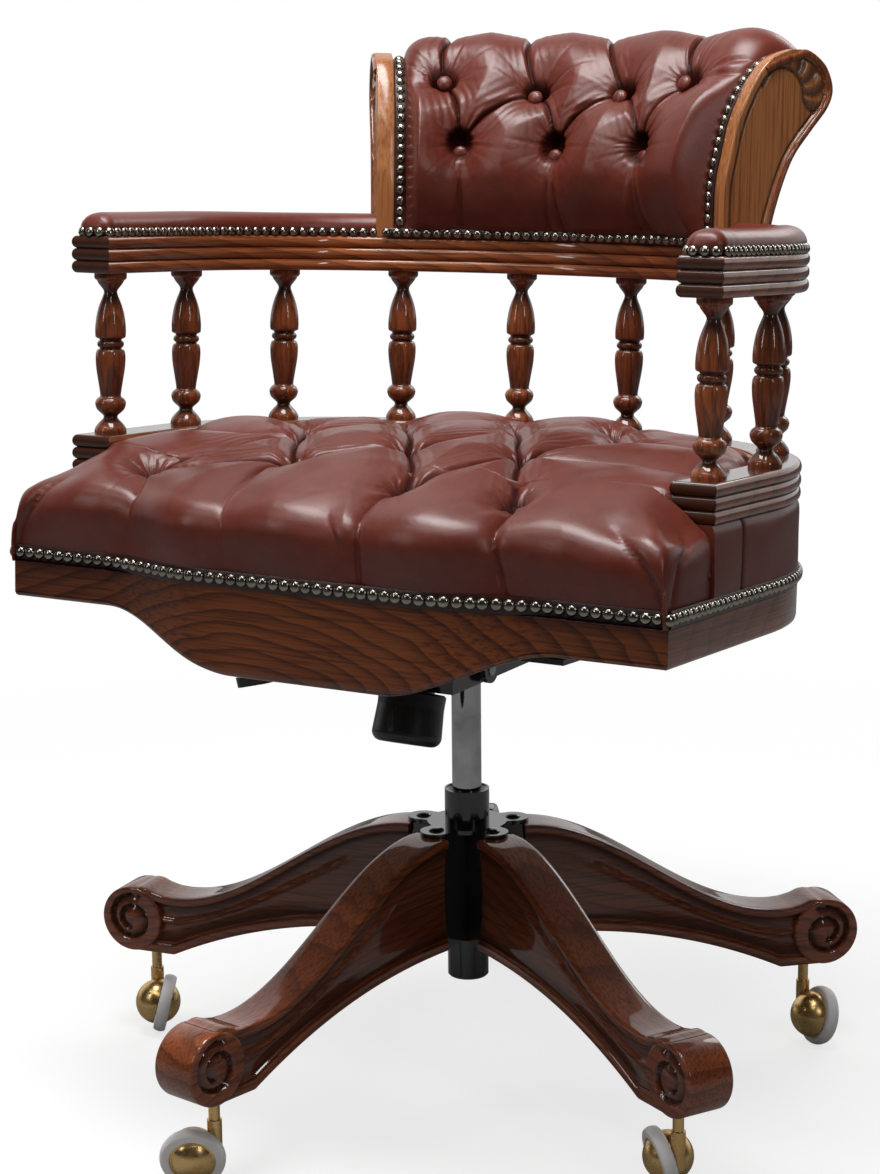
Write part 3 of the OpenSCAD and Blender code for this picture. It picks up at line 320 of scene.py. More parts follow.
def leather_finish(name, deep, body_colour, rubbed):
    kit = NodeKit(name)
    place = kit.add("TexCoord").outputs["Object"]
    clouds = kit.noise(place, Scale=7.0, Detail=3.0, Roughness=0.5)
    mottle = kit.noise(place, Scale=90.0, Detail=3.0, Roughness=0.6)
    pebble = kit.add("TexVoronoi", Vector=place, feature="DISTANCE_TO_EDGE", Scale=650.0).outputs["Distance"]
    crinkle = kit.noise(place, Scale=150.0, Detail=4.0, Roughness=0.6, Distortion=0.8)
    fold = kit.stored("fold")
    colour = kit.mix(kit.ramp(clouds, [(0.34, 0), (0.68, 1)]), body_colour, rubbed)
    colour = kit.mix(kit.ramp(mottle, [(0.42, 0.16), (0.62, 0)]), colour, deep)
    # painted shade: the hide is made darker in the creases and gathers, by the crease attribute
    colour = kit.mix(kit.ramp(fold, [(0.12, 0), (0.8, 0.92)]), colour, deep)
    rough = kit.add("MapRange", Value=fold, To_Min=0.35, To_Max=0.5).outputs[0]
    shine = kit.add("MapRange", Value=fold, To_Min=0.5, To_Max=0.08).outputs[0]
    way = kit.add("SeparateXYZ", Vector=kit.stored("tuft", "Vector")).outputs
    much = kit.add("SeparateXYZ", Vector=kit.stored("gathered", "Vector")).outputs
    angle = kit.calc("ARCTAN2", way["Y"], way["X"])
    shift = kit.calc("MULTIPLY", kit.noise(place, Scale=55.0, Detail=1.0), 7.0)
    ray, beat, pucker = (kit.calc("SINE", kit.calc("MULTIPLY_ADD", line, count, shift))
                         for line, count in ((angle, RAYS), (angle, BEATS), (way["Z"], PUCKERS)))
    rays = kit.calc("MULTIPLY", kit.calc("MULTIPLY", ray, much["X"]), beat)
    waves = kit.calc("ADD", rays, kit.calc("MULTIPLY", pucker, much["Y"]))
    fine = kit.bump(crinkle, 0.16, 0.0009, Normal=kit.bump(pebble, 0.16, 0.0003))
    return kit.shade(Base_Color=colour, Specular_IOR_Level=shine, Normal=kit.bump(waves, 0.7, 0.001, Normal=fine),
                     Roughness=kit.calc("SUBTRACT", kit.calc("MULTIPLY_ADD", mottle, 0.14, rough), 0.07))


leather = leather_finish("oxblood_leather", (0.022, 0.0032, 0.002), (0.126, 0.0205, 0.0098), (0.165, 0.032, 0.02))
# a near-black copy of the leather, for the strips of painted shade under the rows of nails
shade_strip_leather = leather_finish("painted_shade_strip_leather", (0.006, 0.002, 0.002), (0.022, 0.006, 0.005),
                              (0.03, 0.008, 0.006))

# %% [markdown]
# ### Metals, tyre, plastic and plywood
# The enamel is black with a faint orange-peel, the tube is ground steel with rings
# round it from the grinder, the casters are lacquered brass, and the nail heads are
# antique: brass that was darkened with acid and rubbed bright on its crown.

# %% Metal and plain finishes
def metal_finish(name, colour, worn, roughness, metallic=1.0, streak=(40, 40, 900), depth=0.15, coat=0.0):
    kit = NodeKit(name)
    place = kit.add("TexCoord").outputs["Object"]
    lines = kit.noise(kit.stretched(place, streak), Scale=1.0, Detail=3.0)
    clouds = kit.noise(place, Scale=35.0, Detail=3.0)
    low, high = roughness
    return kit.shade(Base_Color=kit.mix(kit.ramp(clouds, [(0.4, 0), (0.75, 0.8)]), colour, worn),
                     Roughness=kit.ramp(lines, [(0.3, low), (0.7, high)]), Metallic=metallic, Coat_Weight=coat,
                     Coat_Roughness=0.08, Normal=kit.bump(lines, depth, 0.0002))


bright_steel = metal_finish("ground_steel", (0.42, 0.42, 0.43), (0.2, 0.2, 0.205), (0.06, 0.12), 1.0,
                            (300, 300, 1), 0.01)
black_steel = metal_finish("black_enamel", (0.006, 0.006, 0.0065), (0.009, 0.009, 0.01), (0.14, 0.22), 0.0,
                           (90, 90, 90), 0.02, 0.6)
brass = metal_finish("caster_brass", (0.78, 0.52, 0.22), (0.6, 0.38, 0.14), (0.22, 0.34), 1.0,
                     (120, 120, 120), 0.06)
nail_brass = metal_finish("antique_nail", (0.36, 0.33, 0.28), (0.17, 0.15, 0.125), (0.14, 0.24), 1.0,
                          (200, 200, 200), 0.2)
tyre = metal_finish("pale_tyre", (0.9, 0.88, 0.86), (0.8, 0.78, 0.76), (0.4, 0.55), 0.0, (200, 200, 200), 0.1)
plastic = metal_finish("black_moulding", (0.012, 0.012, 0.013), (0.02, 0.02, 0.021), (0.3, 0.42), 0.0,
                       (700, 700, 700), 0.25)
FINISH = {"dark_wood": dark_wood, "light_wood": light_wood, "plywood": plywood, "leather": leather,
          "black_steel": black_steel, "bright_steel": bright_steel, "brass": brass, "tyre": tyre,
          "black_plastic": plastic}

# %% [markdown]
# ## Dressing the CAD pieces
# Every node takes the finish of its slot in the record. The CAD mesh is made of flat
# facets, so the edges that turn sharply stay sharp and the rest are shaded round. The
# battens under the seat have no grain attribute, so they take a wood of their own.

# %% Give each CAD node its finish
SHARP = math.radians(28)
slot_of = {s["node"]: s["material_slot"] for s in frame["record"]["subparts"]}
for name, node in frame["nodes"].items():
    node.data.materials.clear()
    node.data.materials.append(batten_wood if name == "seat_battens" else FINISH[slot_of[name]])
    node.data.polygons.foreach_set("use_smooth", [True] * len(node.data.polygons))
    node.data.set_sharp_from_angle(angle=SHARP)
print("finished:", len(slot_of), "nodes")

# %% [markdown]
# ## Tools for making pieces
# `piece` turns points and faces into an object that rides on a body of the chair.
# `sheet` joins a grid of points with quads; `tube` and `bar` close it with two ends.
# `smooth_curve` runs a rounded line through a few drawn points. Pieces of the seat are
# drawn level, and `leaned` leans them back by the seat's rake about a line under it.

# %% Points and faces
RAKE = math.radians(3.3)
RAKE_HEIGHT = 430
MANY_FACES = 4000


def xyz(x, y, z):
    """Points from three rows of numbers; a single number stands for a whole row."""
    return np.stack(np.broadcast_arrays(x, y, z), -1)


def leaned(p):
    c, s = math.cos(RAKE), math.sin(RAKE)
    y, z = p[:, 1], p[:, 2] - RAKE_HEIGHT
    return xyz(p[:, 0], y * c + z * s, RAKE_HEIGHT - y * s + z * c)


def sheet(rows, cols, loop=False):
    a = np.arange(rows * cols).reshape(rows, cols)
    if loop:
        a = np.concatenate([a, a[:, :1]], 1)
    return np.stack([a[:-1, :-1], a[:-1, 1:], a[1:, 1:], a[1:, :-1]], -1).reshape(-1, 4).tolist()


def tube(n, m):
    """Faces of n rings of m points, with a flat cap on the first ring and on the last."""
    return sheet(n, m, loop=True) + [list(range(m)), list(range((n - 1) * m, n * m))[::-1]]


def bar(n, m):
    """Faces of n long lines of m points, with the last line joined to the first and both ends closed."""
    faces = sheet(n, m) + [[(n - 1) * m + i, (n - 1) * m + i + 1, i + 1, i] for i in range(m - 1)]
    return faces + [[i * m for i in range(n)], [i * m + m - 1 for i in range(n)][::-1]]


def volume_of(points, faces):
    total = 0.0
    for f in faces:
        a = points[f[0]]
        for i in range(1, len(f) - 1):
            total += np.dot(a, np.cross(points[f[i]], points[f[i + 1]]))
    return total / 6


def turned_inside_out(mesh):
    """A quick test for big meshes: do the faces look towards the middle?"""
    normals, centres = np.zeros(len(mesh.polygons) * 3), np.zeros(len(mesh.polygons) * 3)
    areas, points = np.zeros(len(mesh.polygons)), np.zeros(len(mesh.vertices) * 3)
    mesh.polygons.foreach_get("normal", normals)
    mesh.polygons.foreach_get("center", centres)
    mesh.polygons.foreach_get("area", areas)
    mesh.vertices.foreach_get("co", points)
    away = centres.reshape(-1, 3) - points.reshape(-1, 3).mean(0)
    return (areas[:, None] * normals.reshape(-1, 3) * away).sum() < 0


def piece(name, points, faces, material, body="seat", instead_of=(), sharp=180, **values):
    points = np.asarray(points, float).reshape(-1, 3)
    if body == "seat":
        points = leaned(points)
    small = len(faces) < MANY_FACES
    if small and volume_of(points, faces) < 0:
        faces = [f[::-1] for f in faces]
    mesh = bpy.data.meshes.new(name)
    mesh.from_pydata((points * 0.001).tolist(), [], faces)
    if not small and turned_inside_out(mesh):
        mesh.flip_normals()
    for key, value in values.items():
        value = np.asarray(value, float)
        vector = value.ndim == 2
        made = mesh.attributes.new(key, "FLOAT_VECTOR" if vector else "FLOAT", "POINT")
        made.data.foreach_set("vector" if vector else "value", value.ravel())
    mesh.polygons.foreach_set("use_smooth", [True] * len(mesh.polygons))
    if sharp < 180:
        mesh.set_sharp_from_angle(angle=math.radians(sharp))
    mesh.materials.append(material)
    obj = bpy.data.objects.new(name, mesh)
    scene.collection.objects.link(obj)
    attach(obj, body)
    if instead_of:
        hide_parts(*instead_of)
    return obj


# %% Smooth curves and steps
def smooth_curve(points, steps):
    """Catmull-Rom: the curve passes through every drawn point."""
    p = np.asarray(points, float)
    n = len(p) - 1
    t = np.linspace(0, n, steps)
    i = np.minimum(t.astype(int), n - 1)
    u = (t - i)[:, None]
    a, b, c, d = p[np.maximum(i - 1, 0)], p[i], p[i + 1], p[np.minimum(i + 2, n)]
    return 0.5 * (2 * b + (c - a) * u + (2 * a - 5 * b + 4 * c - d) * u ** 2 + (3 * b - a - 3 * c + d) * u ** 3)


def ease(t):
    """A soft step from 0 to 1."""
    t = np.clip(t, 0, 1)
    return t * t * (3 - 2 * t)


def bell(away, width):
    """1 on a line and soon 0 beside it."""
    return np.exp(-(away / width) ** 2)


def gone_along(line):
    """The length of a line up to each of its points."""
    return np.concatenate([[0], np.cumsum(np.linalg.norm(np.diff(line, axis=0), axis=1))])


def unit(vectors):
    return vectors / np.linalg.norm(vectors, axis=-1, keepdims=True)


# %% [markdown]
# ## The plan of the gallery
# The rails, the band and the pads all follow one line seen from above: a straight run
# on each side, a corner bend, and a wide bend across the back. `plan` gives the point
# at a length `s` from the middle of the back (negative on the left) and a distance
# `off` outside the line.

# %% The plan line
SIDE_X, BEND_X, BEND_Y, BEND_R, BACK_R = 304.8, 74.8, -40.0, 230.0, 351.0
BEND = math.acos(BEND_X / (BACK_R - BEND_R))
BACK_Y = BEND_Y - (BACK_R - BEND_R) * math.sin(BEND)
BACK_LEN = (math.pi / 2 - BEND) * BACK_R
BEND_LEN = BEND * BEND_R
RAIL_FRONT = 175.0
PLAN_END = BACK_LEN + BEND_LEN + RAIL_FRONT + BEND_Y


def plan(s, off):
    s, off = np.broadcast_arrays(np.asarray(s, float), np.asarray(off, float))
    t = np.abs(s)
    a = math.pi / 2 - t / BACK_R
    b = BEND - (t - BACK_LEN) / BEND_R
    x = np.where(t < BACK_LEN, (BACK_R + off) * np.cos(a),
                 np.where(t < BACK_LEN + BEND_LEN, BEND_X + (BEND_R + off) * np.cos(b), SIDE_X + off))
    y = np.where(t < BACK_LEN, BACK_Y + (BACK_R + off) * np.sin(a),
                 np.where(t < BACK_LEN + BEND_LEN, BEND_Y + (BEND_R + off) * np.sin(b),
                          BEND_Y - (t - BACK_LEN - BEND_LEN)))
    return x * np.where(s < 0, -1, 1), y


print("half length of the plan line:", round(PLAN_END, 1), "mm")

# %% [markdown]
# ## Reeded rails
# A reed is a half round moulding. The cutter ran round the whole rail, front ends too,
# so each height of the rail is the same plan shape drawn in by the reed's depth there.

# %% Lower and upper rail
RAIL_W, RAIL_T, REED_IN = 42.4, 34.0, 4.0
LOWER_Z, SPINDLE_H = 579.0, 149.5
UPPER_Z = LOWER_Z + RAIL_T + SPINDLE_H
PAD_Z = UPPER_Z + RAIL_T


RAIL_STEPS, END_STEP = 150, 0.8
REEDS, REED_TURNS = 3, np.radians(np.arange(-80, 81, 20))
FLAT_IN = 1.5                             # the flat top and bottom are drawn in this much more
# the near-black rail ends and the dark hollows between the reeds are glaze and painted shade
END_GLAZE_AND_SHADE, HOLLOW_GLAZE_AND_SHADE = 0.95, 0.75      # end grain and the hollows between the reeds are stained dark


def plan_loop(half_width, end):
    """A closed line round a bent strip that ends at plus and minus `end`."""
    s = np.concatenate([[-end], np.linspace(END_STEP - end, end - END_STEP, RAIL_STEPS - 2), [end]])
    s, off = np.concatenate([s, s[::-1]]), np.repeat([half_width, -half_width], RAIL_STEPS)
    return *plan(s, off), s, off


def strip_faces(start, flip=False):
    a = start + np.arange(RAIL_STEPS)
    b = start + 2 * RAIL_STEPS - 1 - np.arange(RAIL_STEPS)
    quads = np.stack([a[:-1], a[1:], b[1:], b[:-1]], 1)
    return (quads[:, ::-1] if flip else quads).tolist()


def reeded_rail(name, low, node, grain_from):
    points, grain, levels, glaze = [], [], [], []
    for reed in range(REEDS):
        for turn in REED_TURNS:
            levels.append((REED_IN * (1 - math.cos(turn)),
                           RAIL_T / REEDS * (reed + 0.5 + 0.5 * math.sin(turn) / math.sin(REED_TURNS[-1]))))
    levels = [(levels[0][0] + FLAT_IN, 0.0)] + levels + [(levels[-1][0] + FLAT_IN, RAIL_T)]
    for depth, z in levels:
        x, y, s, off = plan_loop(RAIL_W / 2 - depth, PLAN_END - depth)
        points.append(xyz(x, y, low + z))
        grain.append(xyz(s + grain_from, off, z) / 1000)
        at_end = np.abs(s) > PLAN_END - depth - END_STEP / 2
        glaze.append(np.where(at_end, END_GLAZE_AND_SHADE, HOLLOW_GLAZE_AND_SHADE * min(1.0, depth / REED_IN) ** 3))
    n, m = len(levels), 2 * RAIL_STEPS
    faces = sheet(n, m, loop=True) + strip_faces(0, True) + strip_faces((n - 1) * m)
    return piece(name, np.concatenate(points), faces, rail_wood_painted_paler, instead_of=(node,),
                 sharp=38, grain=np.concatenate(grain), glaze=np.concatenate(glaze))


reeded_rail("rail_low", LOWER_Z, "lower_rail", 3100)
reeded_rail("rail_high", UPPER_Z, "upper_rail", 700)

# %% [markdown]
# ## Turned spindles
# Ten spindles stand between the rails. The outline is the turner's: a flared top, a
# long vase, a pair of beads, a tapered barrel, a ball and a bell shaped foot. It is
# written as depth below the top over the height, and radius over the largest radius.

# %% Spindles
SPINDLE_R = 15.0
SPINDLE_LINE = [[0, 1], [0.03, 1.0], [0.04, 0.94], [0.048, 0.84], [0.064, 0.76], [0.085, 0.6], [0.105, 0.45],
                [0.122, 0.41], [0.15, 0.5], [0.19, 0.66], [0.24, 0.81], [0.3, 0.91], [0.35, 0.95], [0.39, 0.94],
                [0.4, 0.9], [0.406, 0.8], [0.411, 0.7], [0.418, 0.68], [0.424, 0.76], [0.434, 0.82], [0.448, 0.82],
                [0.459, 0.76], [0.465, 0.68], [0.471, 0.69], [0.476, 0.8], [0.486, 0.87], [0.505, 0.91],
                [0.54, 0.925], [0.6, 0.88], [0.67, 0.77], [0.74, 0.66], [0.763, 0.64], [0.772, 0.7],
                [0.785, 0.86], [0.81, 0.955], [0.845, 0.87], [0.868, 0.66], [0.885, 0.47], [0.897, 0.43],
                [0.91, 0.5], [0.93, 0.7], [0.955, 0.9], [0.972, 0.98], [0.985, 1.0], [1, 1.0]]
SPINDLE_PITCH, SPINDLE_STEPS, AROUND = 121.3, 150, 36


def lathe(line):
    """Points of a turned shape: `line` holds radius and height, from top to bottom."""
    turn = np.linspace(0, 2 * math.pi, AROUND, endpoint=False)
    r, z = line[:, 0][:, None], line[:, 1][:, None]
    return xyz(r * np.cos(turn), r * np.sin(turn), z).reshape(-1, 3), tube(len(line), AROUND)


drawn = smooth_curve(SPINDLE_LINE, SPINDLE_STEPS)
# the narrow places and the pair of beads are darkened: glaze, and painted shade in the hollows of the turning
hollow = np.clip((0.84 - drawn[:, 1]) / 0.34, 0, 1) + 0.5 * np.exp(-((drawn[:, 0] - 0.44) / 0.05) ** 4)
glaze = np.repeat(np.clip(0.9 * hollow, 0, 0.92), AROUND)
turned, faces = lathe(np.stack([drawn[:, 1] * SPINDLE_R, SPINDLE_H * (1 - drawn[:, 0])], 1))
for k in range(5):
    for side in (-1, 1):
        x, y = plan(side * SPINDLE_PITCH * (k + 0.5), 0)
        grain = xyz(turned[:, 2] + 170 * k, turned[:, 0] + 31 * side * (k + 1), turned[:, 1] + 9) / 1000
        name = "spindle_{}_{}".format(k + 1, "right" if side > 0 else "left")
        piece(name, turned + (float(x), float(y), LOWER_Z + RAIL_T), faces, dark_wood,
              instead_of=("spindle_pair_%d" % (k + 1),), sharp=50, grain=grain, glaze=glaze)
print("points of a spindle:", len(turned))

# %% [markdown]
# ## Scroll legs
# Each leg is one plank, sawn to an S shaped outline and carved on both sides. A bead
# runs under the top edge, another along the foot, and a fine rib leaves the scroll and
# climbs the hollow between them. The arm is made of cross sections; the scroll is a
# drum whose two faces carry a volute, cut as one groove that winds in to an eye.

# %% Arm of a leg
SCROLL_X, SCROLL_Z, SCROLL_R = 357.0, 116.0, 33.0
LEG_T, LEG_ROOT, LEG_TOP, LEG_UNDER = 43.0, 52.0, 248.0, 139.5
NECK_X, NECK_Z, TOE_X, SOLE_Z = 312.0, 143.0, 311.0, 83.0


def leg_line(x):
    to_neck = np.clip((x - LEG_ROOT) / (NECK_X - LEG_ROOT), 0, 1)
    top = NECK_Z + (LEG_TOP - NECK_Z) * (1 + np.cos(np.pi * to_neck)) / 2
    lip = np.interp(x, [NECK_X, 322, 333, 341, 347, 352], [NECK_Z, 143.6, 146.2, 149.6, 150.2, 149.4])
    top = np.where(x > NECK_X, lip, top)
    foot = LEG_UNDER - (LEG_UNDER - SOLE_Z) * np.clip((x - LEG_ROOT) / (TOE_X - LEG_ROOT), 0, 1) ** 2.2
    return top, foot


def leg_arm():
    xs = np.concatenate([np.linspace(LEG_ROOT, 300, 80), np.linspace(303, 356, 30)])
    top, foot = leg_line(xs)
    half = LEG_T / 2
    upper = [(0, 0), (0.45, 0.1), (0.8, 0), (0.93, 0.35), (0.985, 1.1), (1.0, 2.4), (1.0, 6.0), (0.985, 7.6),
             (0.95, 8.6), (0.9, 9.2), (0.865, 10.4)]
    lower = [(0.85, 15.0), (0.87, 13.2), (0.93, 12.4), (0.945, 11.2), (0.9, 10.2), (0.93, 9.4), (0.985, 8.4),
             (1.0, 6.5), (1.0, 3.4), (0.985, 1.6), (0.94, 0.5), (0.85, 0.0), (0.4, 0.0), (0, 0)]
    share = np.linspace(0, 1, 22)[1:-1]
    rows, glaze = [], []
    for x, t, f in zip(xs, top, foot):
        room = t - 10.4 - (f + 15.0)
        rib_at = np.interp(x, [90, 150, 220, 280, 318], [0.18, 0.3, 0.42, 0.5, 0.45])
        rib = np.exp(-((share - rib_at) * room / 2.6) ** 2) * ease((x - 95) / 60)
        hollow = 0.85 - 0.12 * np.sin(np.pi * share) + 0.17 * rib
        side = [(y * half, t - z) for y, z in upper]
        side += [(h * half, t - 10.4 - q * room) for h, q in zip(hollow, share)]
        side += [(y * half, f + z) for y, z in lower]
        ring = side + [(-y, z) for y, z in side[-2:0:-1]]
        rows.append([(x, y, z) for y, z in ring])
        # glaze and painted shade: darker in the corners of the hollow panel, beside the beads and on the underside,
        # paler on the rib
        low_in = 0.85 * np.exp(-share * room / 5) + 0.85 * np.exp(-(1 - share) * room / 5)
        glaze_and_shade_row = [0] * 8 + [0.3, 0.8, 0.9] + list(np.clip(low_in + 0.25 - 0.5 * rib, 0, 0.9)) + \
            [0.9, 0.8, 0.3, 0.1, 0.6, 0.2, 0, 0, 0, 0.1, 0.3, 0.4, 0.4, 0.4]
        glaze.append(glaze_and_shade_row + glaze_and_shade_row[-2:0:-1])
    p = np.array(rows)
    return p.reshape(-1, 3), tube(*p.shape[:2]), np.array(glaze, float).ravel()


# %% [markdown]
# The volute's groove starts at the top of the drum and winds inwards one and a half
# turns. `volute_depth` finds how far a point lies from the nearest coil of the groove
# and cuts a steep wall on the outside and a slow swell on the inside.

# %% Scroll of a leg
VOLUTE_TURNS, VOLUTE_DEPTH, VOLUTE_FROM = 1.62, 4.8, math.radians(115)
DRUM_SIDES, DRUM_EDGE = 96, 2.4


def volute_depth(r, turn):
    """Depth of the carving at a radius and an angle, measured from the start of the groove."""
    along = np.mod(turn, 2 * np.pi)
    depth = np.zeros_like(r)
    for coil in range(3):
        wound = (along + 2 * np.pi * coil) / (2 * np.pi)
        away = r - (26.5 - 13.2 * wound + 1.9 * wound ** 2)
        cut = np.where(away > 0, bell(away, 1.3), np.exp(-(np.abs(away) / 5.0) ** 1.3))
        ends = ease(wound / 0.05 + 0.3) * ease((VOLUTE_TURNS - wound) / 0.12)
        depth = np.where(wound < VOLUTE_TURNS, np.maximum(depth, VOLUTE_DEPTH * cut * ends), depth)
    return depth


def scroll_drum():
    turn = np.linspace(0, 2 * np.pi, DRUM_SIDES, endpoint=False)
    radii = np.concatenate([[0.01], np.linspace(1.2, 29.5, 34), [30.8, 31.9, 32.7, SCROLL_R]])
    half = LEG_T / 2 + 1.2
    rows, glaze = [], []
    for side in (1, -1):
        ring_set, ring_glaze = [], []
        for r in radii:
            inside = DRUM_EDGE - min(SCROLL_R - r, DRUM_EDGE)
            fall = DRUM_EDGE - math.sqrt(max(0.0, DRUM_EDGE ** 2 - inside ** 2))
            carved = volute_depth(np.full(DRUM_SIDES, r), VOLUTE_FROM - turn)
            ring_set.append(xyz(SCROLL_X + r * np.cos(turn), side * (half - fall - carved),
                                SCROLL_Z + r * np.sin(turn)))
            # glaze and painted shade in the volute's groove
            ring_glaze.append(np.clip(carved / 4.0, 0, 0.9))
        rows += ring_set if side > 0 else ring_set[::-1]
        glaze += ring_glaze if side > 0 else ring_glaze[::-1]
    return np.concatenate(rows), tube(len(rows), DRUM_SIDES), np.array(glaze).ravel()


FIRST_LEG = 24.7 + 90
arm_points, arm_faces, arm_glaze = leg_arm()
drum_points, drum_faces, drum_glaze = scroll_drum()
p = np.concatenate([arm_points, drum_points])
faces = arm_faces + [[i + len(arm_points) for i in f] for f in drum_faces]
glaze = np.concatenate([arm_glaze, drum_glaze])
for k in range(5):
    turn = math.radians(FIRST_LEG + 72 * k)
    c, s = math.cos(turn), math.sin(turn)
    turned = xyz(p[:, 0] * c - p[:, 1] * s, p[:, 0] * s + p[:, 1] * c, p[:, 2])
    piece("leg_%d" % (k + 1), turned, faces, dark_wood, "base", instead_of=("star_leg_%d" % (k + 1),),
          sharp=34, grain=(p + (977 * k, 0, 60 * k)) / 1000, glaze=glaze)
print("leg points:", len(p))

# %% [markdown]
# ## Apron and band
# The apron is one bowed board with a drooping lower edge, sawn from a plank whose
# figure shows as arches. Its lower edge is rounded over. The band carries on round the
# sides and the back and meets the apron in a mitre at each front corner.

# %% Apron
SEAT_HALF, SEAT_FRONT, BAND_LOW, BAND_TOP, BAND_T = 326.0, 260.0, 472.0, 505.0, 22.0


def front_line(x):
    """How far forward the seat's front edge lies at x."""
    return -SEAT_FRONT - 26 * (1 - ease((np.abs(x) - 105) / 120))


def apron_low(x):
    return BAND_LOW - 44 * (1 - ease((np.abs(x) - 75) / 152))


def apron():
    x = np.linspace(-SEAT_HALF, SEAT_HALF, 160)
    low = apron_low(x)
    section = [(BAND_T, 1, 0), (0.0, 1, 0)] + [(0.0, q, 0) for q in np.linspace(0.96, 0.1, 16)]
    section += [(0.0, 0, 5.0), (0.5, 0, 2.6), (1.7, 0, 0.9), (3.6, 0, 0), (BAND_T - 2, 0, 0), (BAND_T, 0, 2)]
    rows = []
    for back, part, lift in section:
        squeeze = (SEAT_HALF - back * 0.98) / SEAT_HALF
        rows.append(xyz(x * squeeze, front_line(x) + back, low + lift + part * (BAND_TOP - low - lift)))
    p = np.concatenate(rows)
    grain = xyz(p[:, 0] - 60, p[:, 2] - 520, p[:, 1] + 260) / 1000
    piece("apron", p, bar(len(rows), len(x)), apron_wood, instead_of=("apron_front",), sharp=40, grain=grain)


apron()

# %% Band round the sides and the back
def swept(section, end_outer, end_inner, steps=170):
    """Sweeps (off, z) pairs round the plan; the ends are cut on a slant, as for a mitre."""
    rows, lengths = [], []
    for off, z in section:
        end = np.interp(off, [-RAIL_W / 2, RAIL_W / 2], [end_inner, end_outer])
        s = np.linspace(-end, end, steps)
        rows.append(xyz(*plan(s, off), z))
        lengths.append(s)
    return np.concatenate(rows), bar(len(rows), steps), np.concatenate(lengths)


BAND_END = PLAN_END + SEAT_FRONT - RAIL_FRONT
off_out, off_in = RAIL_W / 2, RAIL_W / 2 - BAND_T
section = [(off_in, BAND_TOP), (off_out - 0.6, BAND_TOP), (off_out, BAND_TOP - 0.6), (off_out, BAND_LOW + 17),
           (off_out, BAND_LOW + 4), (off_out - 0.7, BAND_LOW + 1.4), (off_out - 2.6, BAND_LOW), (off_in, BAND_LOW)]
p, faces, s = swept(section, BAND_END, BAND_END - RAIL_W - 2)
grain = xyz(s + 1500, p[:, 2] - 455, 20) / 1000
piece("band", p, faces, dark_wood, instead_of=("seat_band",), sharp=40, grain=grain)

# %% [markdown]
# ## Domed nails
# Every row of nails is one mesh: the same small dome, copied along a line and turned
# to face outwards. Real nailing is by hand, so the pitch and the lean wander slightly.

# %% Nail rows
DOME = [(1.0, 0.0), (0.98, 0.16), (0.86, 0.36), (0.64, 0.53), (0.34, 0.63)]
DOME_TOP, DOME_SIDES = 0.66, 12
NAIL_LEAN, PITCH_WANDER = 0.06, 0.025
chance = np.random.default_rng(7)


def nail_row(name, centres, normals, size):
    turn = np.linspace(0, 2 * np.pi, DOME_SIDES, endpoint=False)
    rings = [xyz(r * np.cos(turn), r * np.sin(turn), h) for r, h in DOME]
    local = np.concatenate(rings + [np.array([[0, 0, DOME_TOP]])]) * size / 2
    one = sheet(len(DOME), DOME_SIDES, loop=True)
    top = (len(DOME) - 1) * DOME_SIDES
    one += [[top + i, top + (i + 1) % DOME_SIDES, len(local) - 1] for i in range(DOME_SIDES)]
    normals = unit(normals + chance.normal(0, NAIL_LEAN, normals.shape))
    side = unit(np.cross(normals, np.roll(normals, 1, axis=1) + (0.31, 0.17, 0.05)))
    third = np.cross(normals, side)
    p, faces = [], []
    for i in range(len(centres)):
        p.append(centres[i] + local[:, :1] * side[i] + local[:, 1:2] * third[i] + local[:, 2:] * normals[i])
        faces += [[j + i * len(local) for j in f] for f in one]
    piece(name, np.concatenate(p), faces, nail_brass)


def shade_strip(name, line, normals, width):
    """A thin near-black strip of hide under a row of nails: painted shade under the nails and in the gaps between
    them.
    """
    across = unit(np.cross(normals, np.gradient(line, axis=0)))
    section = [(-1, -1.6), (-1, 0.1), (-0.85, 0.6), (0, 0.8), (0.85, 0.6), (1, 0.1), (1, -1.6)]
    p = [line + across * a * width / 2 + normals * h for a, h in section]
    piece(name, p, bar(len(section), len(line)), shade_strip_leather, sharp=60)


def along(points, pitch):
    """Points at an even pitch along a drawn line, with the line's direction there."""
    gone = gone_along(points)
    count = int(gone[-1] // pitch) + 1
    at = (np.arange(count) + 0.5) * gone[-1] / count
    at = at + chance.normal(0, pitch * PITCH_WANDER, count)
    q, ahead, behind = (xyz(*(np.interp(at + step, gone, column) for column in points.T))
                        for step in (0, 0.5, -0.5))
    return q, unit(ahead - behind)


def outward(direction, tilt=0.0):
    """Level normals on the right hand side of a line, tipped up by `tilt`."""
    return unit(xyz(direction[:, 1], -direction[:, 0], tilt))


SEAT_NAIL, SEAT_PITCH, NAIL_Z = 10.6, 10.9, 513.0
SEAT_SHADE_STRIP, SHADE_STRIP_Z = 14.5, NAIL_Z - 0.4
x = np.linspace(-SEAT_HALF + 3, SEAT_HALF - 3, 300)
q, d = along(xyz(x, front_line(x) - 2.6, NAIL_Z), SEAT_PITCH)
nail_row("nails_seat_front", q, outward(d), SEAT_NAIL)
